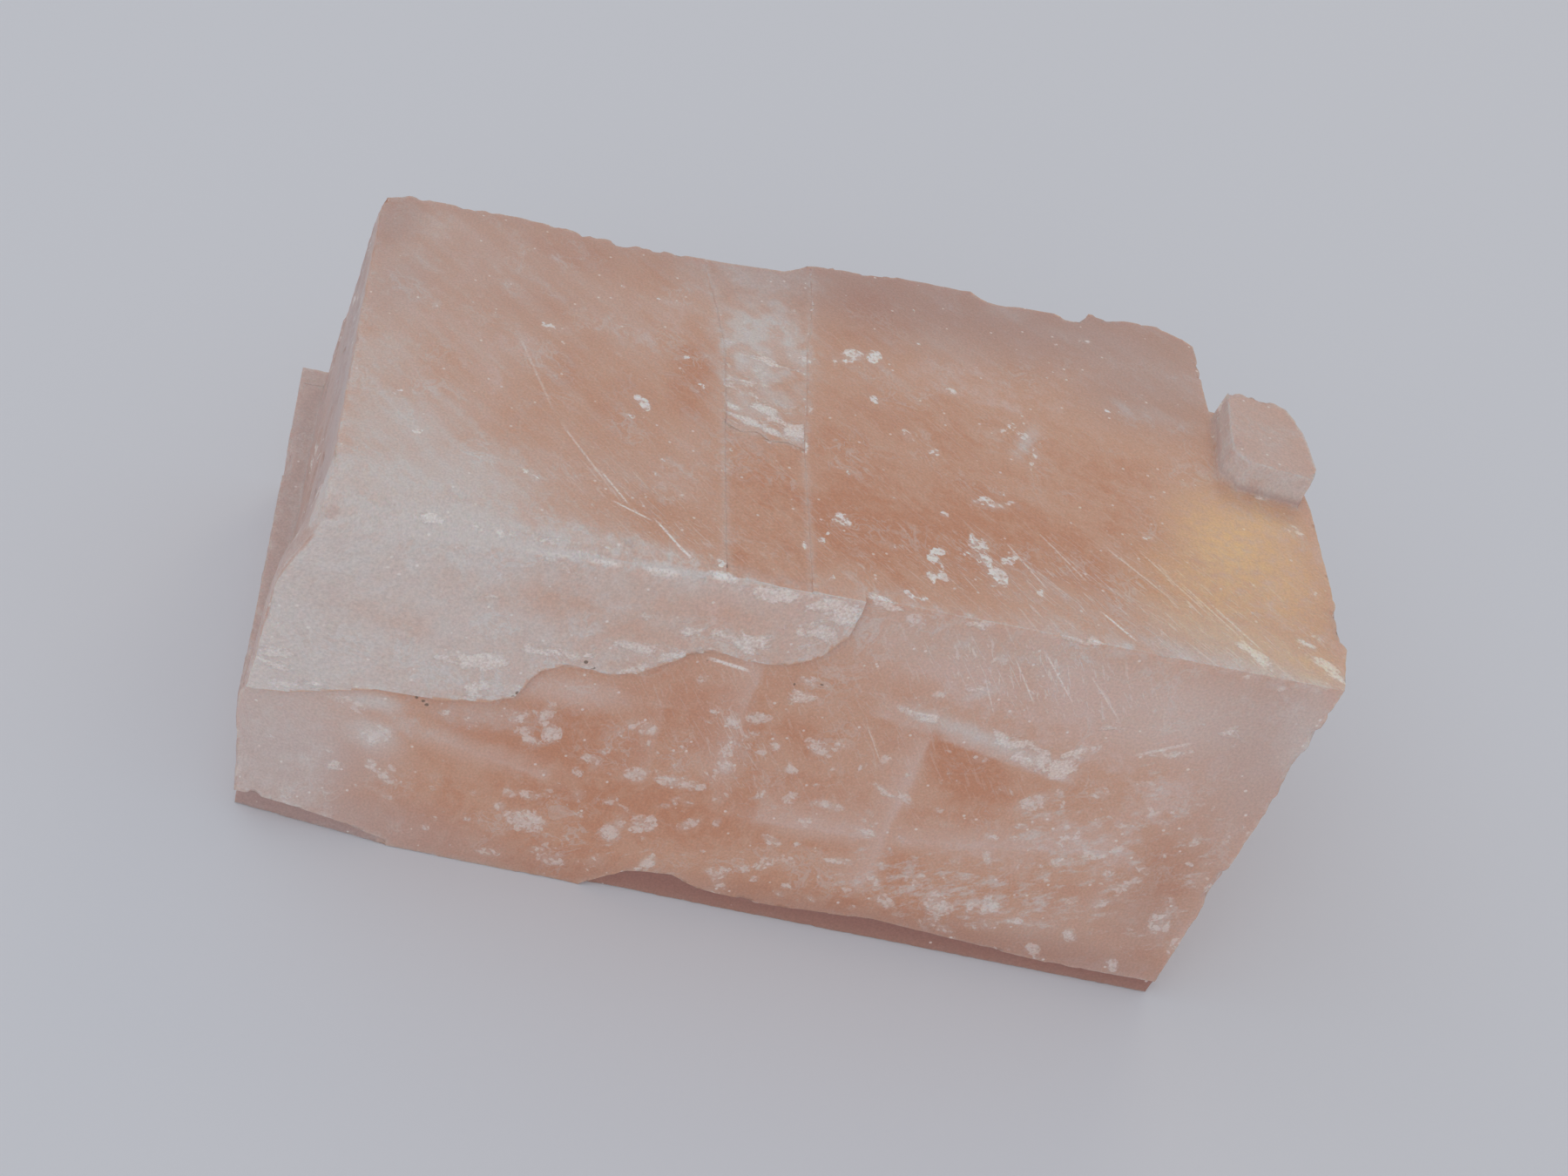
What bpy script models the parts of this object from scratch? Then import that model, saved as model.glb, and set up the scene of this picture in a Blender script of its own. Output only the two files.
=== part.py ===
"""A hand specimen of pink calcite: one cleavage rhomb, broken from a larger crystal, lying on a face.

Blender's units are metres. The origin is at the middle of the bounding box's underside, with +Z up
and +X along the longest edge."""

from math import cos, radians, sin, sqrt

import bmesh
import bpy
from mathutils import Euler, Vector

MM = 0.001

# The three cleavage directions of calcite meet at this angle in the blunt corner of the rhomb.
CLEAVAGE_ANGLE = radians(101.91)

# Edges of the rhomb, in mm: a along the ridge, b back across the upper face, c down the front face.
LENGTH = 52.2
WIDTH = 29.5
DEPTH = 21.9

SKIN = 0.35  # thickness of the outer layer left on the upper left of the front face
LEDGE_TOP = 13.0  # depth at which the lower layers stick out at the left end
BACK_STEP = 1.45  # how much farther back the right-hand half reaches
NICK_SLOPE = 1.45  # how steeply the nick in the back edge runs out
WINDOW_DEPTH = 0.3  # depth of the crushed patch on the upper face
STRIP_DEPTH = 0.1  # depth of the narrow lamella in front of it
BLOCK_HEIGHT = 1.9  # the remnant of a layer that stands on the upper face
NOTCH_DEPTH = 15.0  # how far down the missing corner goes, behind the block
SIDE_DEPTH = 6.2  # how far down the layers beside the block are missing
END_SLOPE = (0.095, -0.012)  # how the steps of the right end lean, along b and along c
FOOT_RECESS = 0.3  # how far the lowest layer is set back under the front face
REACH = 4.0  # how far cutters run past the body
FAR = LENGTH + 2.5 * REACH  # well beyond the right end, whose corners stick out

ROSE = (0.70, 0.46, 0.37, 1.0)
ROUGHNESS = 0.38

slant = cos(CLEAVAGE_ANGLE)
across = sin(CLEAVAGE_ANGLE)
lean = slant * (1.0 - slant) / across
DIRECTION_A = Vector((1.0, 0.0, 0.0))
DIRECTION_B = Vector((slant, across, 0.0))
DIRECTION_C = Vector((slant, lean, -sqrt(1.0 - slant**2 - lean**2)))


def place(a, b, c):
    """The point at these distances, in mm, along the three cleavage directions from the blunt corner."""
    return (DIRECTION_A * a + DIRECTION_B * b + DIRECTION_C * c) * MM


def add_object(name, mesh_tool, helper=True):
    """Makes an object of a bmesh. A helper only shapes another piece, so it isn't rendered."""
    bmesh.ops.recalc_face_normals(mesh_tool, faces=mesh_tool.faces)
    mesh = bpy.data.meshes.new(name)
    mesh_tool.to_mesh(mesh)
    mesh_tool.free()
    made = bpy.data.objects.new(name, mesh)
    bpy.context.scene.collection.objects.link(made)
    if helper:
        made.hide_render = True
        made.display_type = "WIRE"
    return made


def prism(name, outline, along, low, high):
    """A prism: an outline in two cleavage coordinates, carried from low to high along the third."""
    return sloped_prism(name, outline, along, low, high, (0.0, 0.0))


def sloped_prism(name, outline, along, low, high, slope):
    """A prism whose far face leans: slope is its rise along each outline coordinate, from high at 0, 0."""
    order = {"a": (1, 2, 0), "b": (0, 2, 1), "c": (0, 1, 2)}[along]
    mesh_tool = bmesh.new()
    rings = []
    for level in (low, high):
        ring = []
        for pair in outline:
            spot = [0.0, 0.0, 0.0]
            spot[order[0]], spot[order[1]] = pair
            spot[order[2]] = level
            if level == high:
                spot[order[2]] += slope[0] * pair[0] + slope[1] * pair[1]
            ring.append(mesh_tool.verts.new(place(*spot)))
        rings.append(ring)
    mesh_tool.faces.new(rings[0])
    mesh_tool.faces.new(rings[1])
    for here in range(len(outline)):
        there = (here + 1) % len(outline)
        mesh_tool.faces.new([rings[0][here], rings[0][there], rings[1][there], rings[1][here]])
    return add_object(name, mesh_tool)


def beyond(name, first, second, third, outside):
    """A cutter for all that lies beyond the plane of three points, on the side of the fourth."""
    corner = place(*first)
    side = (place(*second) - corner).normalized()
    normal = side.cross(place(*third) - corner).normalized()
    if normal.dot(place(*outside) - corner) < 0:
        normal = -normal
    other = normal.cross(side)
    size = 3 * LENGTH * MM
    mesh_tool = bmesh.new()
    bmesh.ops.create_cube(mesh_tool, size=size)
    for vert in mesh_tool.verts:
        spot = vert.co
        vert.co = corner + side * spot.x + other * spot.y + normal * (spot.z + size / 2)
    return add_object(name, mesh_tool)


def scoop(name, centre, radii, turn=(0.0, 0.0, 0.0), detail=3):
    """An ellipsoid that leaves a shell-shaped chip, centred in cleavage coordinates, with radii in mm."""
    mesh_tool = bmesh.new()
    bmesh.ops.create_icosphere(mesh_tool, subdivisions=detail, radius=1.0)
    bmesh.ops.scale(mesh_tool, verts=mesh_tool.verts, vec=Vector(radii) * MM)
    spin = Euler([radians(angle) for angle in turn]).to_matrix()
    bmesh.ops.rotate(mesh_tool, verts=mesh_tool.verts, matrix=spin)
    bmesh.ops.translate(mesh_tool, verts=mesh_tool.verts, vec=place(*centre))
    return add_object(name, mesh_tool)


def combine(target, other, operation="DIFFERENCE"):
    """Cuts one solid from another, or joins it on."""
    step = target.modifiers.new(other.name, "BOOLEAN")
    step.operation = operation
    step.solver = "EXACT"
    step.object = other


def build_body():
    """The rhomb before any layer breaks off: both ends lean out, the right one towards the back."""
    left = {
        (0, 0): -3.5,
        (0, 1): 0.07,
        (1, 0): -4.0,
        (1, 1): -0.45,
    }
    right = {
        (0, 0): LENGTH + 0.55,
        (0, 1): LENGTH + 0.2,
        (1, 0): LENGTH + 3.8,
        (1, 1): LENGTH + 2.4,
    }
    mesh_tool = bmesh.new()
    corners = {}
    for back in (0, 1):
        for low in (0, 1):
            b = WIDTH if back else -SKIN
            c = DEPTH if low else 0.0
            for end, side in ((0, left), (1, right)):
                spot = place(side[back, low], b, c)
                corners[end, back, low] = mesh_tool.verts.new(spot)
    for axis in range(3):
        for level in (0, 1):
            first, second = [k for k in range(3) if k != axis]
            ring = []
            for u, v in ((0, 0), (1, 0), (1, 1), (0, 1)):
                key = [0, 0, 0]
                key[axis], key[first], key[second] = level, u, v
                ring.append(corners[tuple(key)])
            mesh_tool.faces.new(ring)
    return add_object("pink_calcite", mesh_tool, helper=False)


def front_cuts():
    """Where the front face has lost its outer layer, and where its foot is set back."""
    skin_edge = [
        (-REACH, 12.9),
        (-0.3, 12.8),
        (2.5, 12.4),
        (6.0, 11.1),
        (8.8, 11.0),
        (11.5, 10.5),
        (12.8, 9.9),
        (13.6, 7.9),
        (14.8, 7.2),
        (17.1, 7.35),
        (18.4, 6.9),
        (19.8, 5.8),
        (21.1, 4.9),
        (22.2, 4.65),
        (23.6, 4.85),
        (25.4, 4.7),
        (26.9, 3.8),
        (27.8, 2.2),
        (27.9, 0.8),
        (27.6, -REACH),
    ]
    around = [(LENGTH + REACH, -REACH), (LENGTH + REACH, DEPTH + REACH), (-REACH, DEPTH + REACH)]
    yield prism("cut_front_layer", skin_edge + around, "b", -REACH, 0.0)
    right_foot = [
        (19.6, DEPTH + 1),
        (20.0, 21.8),
        (21.4, 20.8),
        (22.7, 20.15),
        (24.6, 19.95),
        (26.2, 20.5),
        (28.8, 20.7),
        (31.2, 20.65),
        (36.0, 20.25),
        (41.0, 20.55),
        (46.0, 20.85),
        (LENGTH + REACH, 20.6),
        (LENGTH + REACH, DEPTH + 1),
    ]
    yield prism("cut_right_foot", right_foot, "b", -REACH, FOOT_RECESS)
    left_foot = [
        (-REACH, 19.8),
        (1.4, 20.2),
        (3.9, 20.5),
        (6.5, 20.9),
        (8.8, 21.6),
        (8.9, DEPTH + 1),
        (-REACH, DEPTH + 1),
    ]
    yield sloped_prism("cut_left_foot", left_foot, "b", -REACH, 0.9, (-0.095, 0.0))


def left_cuts():
    """The upper layers end short of the lower ones at the left, and the ridge is worn round there."""
    upper_left = [
        (-REACH * 2, -REACH),
        (0.4, -REACH),
        (-0.25, LEDGE_TOP),
        (-REACH * 2, LEDGE_TOP + 0.3),
    ]
    yield prism("cut_upper_left", upper_left, "b", -REACH, WIDTH + REACH)
    outward = (0, -REACH, -REACH)
    yield beyond("cut_worn_ridge", (0, -SKIN, 1.7), (0, 0.9, 0), (27, -SKIN, 0.02), outward)
    yield beyond("cut_worn_top", (0, 2.6, 0), (0, 0.3, 0.5), (20, 0.2, 0.02), outward)
    corner = [(-2.0, -REACH), (4.4, -REACH), (1.05, -0.65), (-0.3, 0.7), (-2.0, 2.4)]
    yield prism("cut_left_corner", corner, "c", -REACH, LEDGE_TOP)


def back_cuts():
    """Steps of the back face, and nicks along its upper edge."""
    behind = WIDTH - BACK_STEP
    upper_corner = [
        (-REACH * 2, 26.2),
        (-0.1, 26.6),
        (0.5, 27.55),
        (1.8, 28.1),
        (3.0, WIDTH + 0.1),
        (-REACH * 2, WIDTH + 0.1),
    ]
    yield prism("cut_upper_corner", upper_corner, "c", -REACH, LEDGE_TOP + 0.05)
    back_left = [
        (-REACH * 2, behind + 0.3),
        (-0.3, behind + 0.1),
        (9.0, behind + 0.05),
        (14.5, behind - 0.5),
        (20.0, behind - 0.65),
        (25.4, behind - 0.3),
        (26.3, behind + 0.25),
        (26.9, behind + 0.75),
        (29.0, behind + 1.25),
        (31.0, WIDTH + 0.1),
        (31.4, WIDTH + REACH),
        (-REACH * 2, WIDTH + REACH),
    ]
    yield prism("cut_back_left", back_left, "c", -REACH, DEPTH + REACH)
    panel = [
        (4.2, 6.4),
        (17.5, 6.9),
        (18.3, 12.2),
        (23.2, 12.6),
        (24.1, DEPTH + 1),
        (5.0, DEPTH + 1),
    ]
    yield prism("cut_back_panel", panel, "b", behind - 1.35, WIDTH + REACH)
    shelf = [
        (37.2, 6.3),
        (41.5, 5.4),
        (FAR, 5.7),
        (FAR, 16.5),
        (45.8, 16.2),
        (44.6, 12.9),
        (38.9, 11.6),
    ]
    yield prism("cut_back_shelf", shelf, "b", WIDTH - 0.6, WIDTH + REACH)
    nick = [
        (36.6, WIDTH + 1),
        (37.5, WIDTH - 0.35),
        (38.2, WIDTH - 0.9),
        (39.3, WIDTH - 1.0),
        (40.2, WIDTH - 0.75),
        (42.4, WIDTH - 0.7),
        (43.0, WIDTH - 1.15),
        (43.9, WIDTH - 1.1),
        (44.5, WIDTH - 0.3),
        (45.2, WIDTH + 1),
    ]
    nick_level = 0.25 - NICK_SLOPE * (WIDTH - 1.2)
    yield sloped_prism("cut_back_nick", nick, "c", -REACH, nick_level, (0.0, NICK_SLOPE))
    yield scoop("chip_back_1", (31.0, WIDTH + 1.5, 0.9), (4.4, 1.7, 2.6), (0, 0, 4))
    yield scoop("chip_back_2", (12.5, WIDTH + 1.6, -0.4), (5.8, 3.2, 2.4), (0, 0, -12))
    yield scoop("chip_back_3", (36.5, WIDTH + 1.4, 21.4), (5.2, 2.3, 3.6), (0, 20, 0))


def right_cuts():
    """The right end is a rough break: the corner behind the block is missing, and layers step across it."""
    front_corner = [(LENGTH - 1.3, -REACH), (LENGTH + 0.9, 3.0), (FAR, 3.3), (FAR, -REACH)]
    yield prism("cut_front_corner", front_corner, "c", -REACH, DEPTH + REACH)
    notch = [
        (50.35, 21.6),
        (FAR, 21.1),
        (FAR, WIDTH + REACH),
        (47.2, WIDTH + 1),
        (50.35, 28.7),
        (50.95, 28.1),
    ]
    yield prism("cut_corner_notch", notch, "c", -REACH, NOTCH_DEPTH)
    below = [(52.0, 22.4), (FAR, 22.1), (FAR, WIDTH + REACH), (51.6, WIDTH + REACH)]
    yield prism("cut_below_notch", below, "c", NOTCH_DEPTH - 1, DEPTH + REACH)
    side = [(54.35, 13.6), (54.1, 23.0), (FAR, 23.0), (FAR, 12.8)]
    yield prism("cut_beside_block", side, "c", -REACH, SIDE_DEPTH)
    layer = [
        (6.1, 11.2),
        (8.4, 9.6),
        (12.2, 9.9),
        (13.4, 7.6),
        (WIDTH + REACH, 7.9),
        (WIDTH + REACH, DEPTH + REACH),
        (7.2, DEPTH + REACH),
    ]
    yield sloped_prism("cut_end_layer", layer, "a", FAR, LENGTH + 0.1, END_SLOPE)
    lower = [
        (11.4, 17.2),
        (15.2, 15.1),
        (WIDTH + REACH, 15.4),
        (WIDTH + REACH, DEPTH + REACH),
        (12.6, DEPTH + REACH),
    ]
    yield sloped_prism("cut_end_lower", lower, "a", FAR, LENGTH - 0.9, END_SLOPE)
    yield scoop("chip_end", (56.0, 8.4, 23.0), (3.4, 7.5, 6.2), (0, 14, 8))


def top_cuts():
    """The crushed window in the upper face, and the narrow lamella that runs from it to the ridge."""
    window = [
        (21.15, 11.8),
        (22.0, 11.35),
        (22.9, 11.6),
        (23.6, 11.0),
        (24.6, 11.2),
        (25.5, 10.8),
        (25.9, 14.6),
        (26.3, 20.0),
        (26.9, 24.2),
        (27.3, WIDTH + REACH),
        (20.2, WIDTH + REACH),
        (20.5, 26.0),
        (21.0, 22.6),
        (21.35, 18.6),
    ]
    fade = WINDOW_DEPTH / 18.0
    yield sloped_prism("cut_window", window, "c", -REACH, WINDOW_DEPTH + fade * 11.0, (0.0, -fade))
    strip = [(20.65, -REACH), (25.05, -REACH), (25.5, 11.4), (21.1, 12.1)]
    yield prism("cut_strip", strip, "c", -REACH, STRIP_DEPTH)


def base_cuts():
    """Shallow layers missing under the crystal. What is left of the lowest face carries it."""
    back_patch = [
        (29.2, WIDTH + REACH),
        (30.8, 22.6),
        (37.4, 21.2),
        (39.0, 18.3),
        (46.2, 18.0),
        (47.5, WIDTH + REACH),
    ]
    yield prism("cut_base_back", back_patch, "c", DEPTH - 0.45, DEPTH + REACH)
    left_patch = [(-REACH, 9.6), (3.2, 10.1), (4.4, 13.0), (3.0, 17.5), (-REACH, 18.2)]
    yield prism("cut_base_left", left_patch, "c", DEPTH - 0.3, DEPTH + REACH)


def build_block():
    """The remnant of the layer above: a small rhomb on the upper face, its far corner chipped round."""
    outline = [
        (49.35, 15.4),
        (50.1, 14.5),
        (53.5, 14.0),
        (53.95, 15.0),
        (54.1, 17.3),
        (54.0, 18.9),
        (53.6, 20.2),
        (52.7, 20.85),
        (51.9, 21.15),
        (50.35, 20.95),
    ]
    return prism("join_block", outline, "c", -BLOCK_HEIGHT, 1.0)


def make_calcite(body):
    """Gives the crystal its material."""
    rose = bpy.data.materials.new("rose_calcite")
    rose.use_nodes = True
    shader = rose.node_tree.nodes["Principled BSDF"]
    shader.inputs["Base Color"].default_value = ROSE
    shader.inputs["Roughness"].default_value = ROUGHNESS
    shader.inputs["Metallic"].default_value = 0.0
    rose.diffuse_color = ROSE
    body.data.materials.append(rose)


def move_to_floor(objects, body):
    """Puts the origin under the middle of the finished crystal, moving the meshes of all pieces alike."""
    bpy.context.view_layer.update()
    finished = body.evaluated_get(bpy.context.evaluated_depsgraph_get())
    box = [Vector(corner) for corner in finished.bound_box]
    low = Vector([min(corner[k] for corner in box) for k in range(3)])
    high = Vector([max(corner[k] for corner in box) for k in range(3)])
    middle = (low + high) / 2
    for made in objects:
        for vert in made.data.vertices:
            vert.co -= Vector((middle.x, middle.y, low.z))


def main():
    for old in list(bpy.data.objects):
        bpy.data.objects.remove(old)
    body = build_body()
    make_calcite(body)
    cutters = []
    for group in (front_cuts, left_cuts, back_cuts, right_cuts, top_cuts, base_cuts):
        for cutter in group():
            combine(body, cutter)
            cutters.append(cutter)
    block = build_block()
    combine(body, block, "UNION")
    move_to_floor([body, block] + cutters, body)


main()
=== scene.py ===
"""A hand specimen of cloudy pink calcite on pale paper.

The file is laid out as an add-on, with one operator for each piece and one for the stage.
Lengths on the crystal are in millimetres and are turned into metres where a mesh is made."""

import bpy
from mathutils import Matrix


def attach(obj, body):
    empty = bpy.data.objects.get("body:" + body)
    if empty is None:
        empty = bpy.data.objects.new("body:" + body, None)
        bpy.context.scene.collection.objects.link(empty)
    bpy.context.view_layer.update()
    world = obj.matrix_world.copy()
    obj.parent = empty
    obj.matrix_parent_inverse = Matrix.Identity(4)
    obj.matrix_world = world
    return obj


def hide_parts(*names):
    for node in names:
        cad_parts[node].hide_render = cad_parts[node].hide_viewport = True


bl_info = {
    "name": "Pink Calcite Specimen",
    "version": (1, 0, 0),
    "blender": (4, 5, 0),
    "location": "View3D > Sidebar > Calcite",
    "description": "Builds a cloudy pink calcite rhomb with its steps, scratches and crushed flecks",
    "category": "Object",
}

from collections import Counter
from functools import cache
from math import cos, radians, sin, sqrt
from types import SimpleNamespace

import bmesh
import bpy
import numpy as np
from bpy.props import FloatProperty, FloatVectorProperty, PointerProperty
from mathutils import Matrix, Vector, kdtree, noise

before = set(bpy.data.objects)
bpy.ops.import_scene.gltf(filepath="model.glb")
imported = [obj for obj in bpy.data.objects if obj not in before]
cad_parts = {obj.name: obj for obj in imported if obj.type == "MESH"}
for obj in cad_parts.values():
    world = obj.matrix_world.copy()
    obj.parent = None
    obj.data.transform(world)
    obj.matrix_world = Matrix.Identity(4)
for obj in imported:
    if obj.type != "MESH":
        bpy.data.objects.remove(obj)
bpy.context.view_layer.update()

MM = 0.001
NODE = "pink_calcite"

# The three cleavage directions: a along the ridge, b back across the upper face, c down the
# front face. They meet at calcite's cleavage angle in the blunt corner at the ridge's left end.
CLEAVAGE_ANGLE = radians(101.91)
SLANT = cos(CLEAVAGE_ANGLE)
ACROSS = sin(CLEAVAGE_ANGLE)
LEAN = SLANT * (1.0 - SLANT) / ACROSS
WAYS = (
    Vector((1.0, 0.0, 0.0)),
    Vector((SLANT, ACROSS, 0.0)),
    Vector((SLANT, LEAN, -sqrt(1.0 - SLANT**2 - LEAN**2))),
)
BLUNT_CORNER = Vector((-20.8696, -11.6463, 20.6914))
FACE_UP = Vector((0.0, 0.0, 1.0))
FACE_FRONT = WAYS[2].cross(WAYS[0]).normalized()
LENGTH = 52.2  # the ridge, in mm
FOOT_TOP = 19.7  # the depth below which the front face is set back
FAR = 99.0  # beyond every point of the crystal, in mm
ANYWHERE = (-FAR, FAR)

FACING = (0.80, 0.97)  # a point starts to count as on a face, and fully does, at these cosines
EDGE_BEND = radians(11.0)  # edges that bend less than this lie inside a flat face
FIRST_CUT = 0.37  # how far in the first cutting plane is, as a part of one step
MARK_RIM = 1.9  # a mark has faded away at this multiple of its half length and half width

# How patterns are turned from the cleavage directions, in radians about each of them.
CLOUD_TURN = (0.0, 0.0, -0.9)
UPPER_BRUSH = (0.0, 0.0, -0.83)
FRONT_BRUSH = (0.0, -0.86, 0.0)

CAMERA_PLACE = Vector((4.457, -74.941, 80.680))
CAMERA_RIGHT = Vector((0.98127, 0.14537, 0.12638))
CAMERA_UP = Vector((-0.19176, 0.67524, 0.71224))
LIT_SPOT = (0.0, 0.0, 0.01)  # what the lights are turned to, in metres

# Marks on the faces. Each is (a, b or c, half length, half width, turn in degrees, strength),
# in mm on the face, measured from the blunt corner.

# Crushed white spots on the upper face, outside the window, and on the front face.
UPPER_FLECKS = [
    (47.9, 1.5, 0.9, 0.2, -25, 1.2), (48.2, 1.1, 0.6, 0.16, -35, 1.2), (51.6, 1.6, 0.7, 0.25, -30, 1.2),
    (52, 0.9, 0.5, 0.2, -10, 1.2), (51, 2.9, 0.5, 0.15, -40, 1.1), (16.5, 12.2, 0.55, 0.24, -45, 1),
    (16.7, 11.9, 0.24, 0.38, 18, 1), (29, 20.3, 0.56, 0.51, 2, 0.9), (30.3, 20.6, 0.41, 0.52, 2, 0.9),
    (28.1, 19.5, 0.5, 0.38, 33, 0.5), (29.9, 16.5, 0.2, 0.31, 18, 0.85),
    (32.9, 12.7, 0.41, 0.32, 43, 0.55), (27.8, 9.5, 0.14, 0.21, 17, 0.9),
    (27.1, 5.5, 0.47, 0.54, 16, 0.65), (35, 9.3, 0.73, 0.33, 30, 0.5), (35.7, 9.1, 0.86, 0.43, 9, 0.55),
    (36.4, 9.5, 0.74, 0.2, 30, 0.45), (32.8, 7.6, 0.21, 0.19, -42, 0.9),
    (25.9, 3.7, 0.23, 0.15, -60, 0.8), (26.3, 4.3, 0.14, 0.13, 16, 0.8), (25, 3, 0.14, 0.33, 16, 0.7),
    (34.4, 5.7, 0.5, 0.37, -42, 1), (34.2, 6.1, 0.33, 0.17, -53, 0.9), (33.6, 4.8, 0.32, 0.11, 41, 0.6),
    (34.6, 4.5, 0.52, 0.27, -63, 1), (34.4, 4.6, 0.28, 0.39, 16, 0.9), (35.9, 4.9, 0.49, 0.23, 40, 0.8),
    (35.1, 3.6, 0.51, 0.35, -47, 1), (35.2, 3.1, 0.28, 0.25, 16, 0.9), (34.8, 2.8, 0.37, 0.13, 16, 0.7),
    (32.1, 4.5, 0.3, 0.25, 29, 0.95), (31.8, 3.9, 0.29, 0.26, -62, 0.95),
    (32.2, 3.4, 0.14, 0.19, 16, 0.7), (31.5, 2.6, 0.23, 0.25, 16, 0.95), (31.5, 2.2, 0.14, 0.19, 16, 0.8),
    (32.1, 2.7, 0.37, 0.22, -52, 0.8), (30.2, 0.8, 0.15, 0.38, 40, 0.7),
    (30.9, 0.7, 0.23, 0.18, -27, 0.95), (28.7, 0, 0.54, 0.31, 16, 0.8), (29.2, 0.4, 0.36, 0.23, 68, 0.5),
    (29.8, 4.3, 0.18, 0.13, -13, 0.8), (30.5, 5.2, 0.14, 0.13, 16, 0.6), (21.3, 9.6, 0.14, 0.15, 17, 0.8),
    (17.3, 6.3, 0.25, 0.13, -27, 0.7), (17.1, 3.7, 0.18, 0.1, -57, 0.7),
    (11, 17.4, 0.63, 0.39, -39, 0.45), (4.4, 6.1, 0.34, 0.26, -13, 0.6),
    (10.3, 4.5, 0.42, 0.12, -32, 0.7), (10.8, 4.1, 0.29, 0.13, -20, 0.7), (3.1, 9, 0.66, 0.22, 34, 0.45),
    (37.8, 16.6, 0.65, 0.31, -61, 0.4), (38.4, 15.8, 0.61, 0.38, -56, 0.4),
    (38.8, 14.4, 0.65, 0.21, -77, 0.4), (38.4, 13.2, 0.62, 0.19, 86, 0.4),
    (22.3, 14.5, 0.6, 0.31, -14, 0.8), (24.8, 13.5, 0.74, 0.5, -29, 1),
    (25.3, 11.9, 0.79, 0.28, -61, 0.9), (25.4, 11.1, 0.55, 0.21, -68, 0.9),
    (22, 13.6, 0.58, 0.31, 2, 0.7), (25.8, 14.4, 0.58, 0.4, 45, 0.6), (37.2, 2.8, 0.31, 0.23, -54, 0.7),
    (30.2, 4.5, 0.14, 0.13, 16, 0.6), (26.2, 1, 0.19, 0.12, -27, 0.7), (25.9, 0.6, 0.13, 0.12, 16, 0.7),
    (44.1, 8.8, 0.37, 0.22, 2, 0.5), (42.9, 8.1, 0.1, 0.14, 16, 0.5),
]
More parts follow.
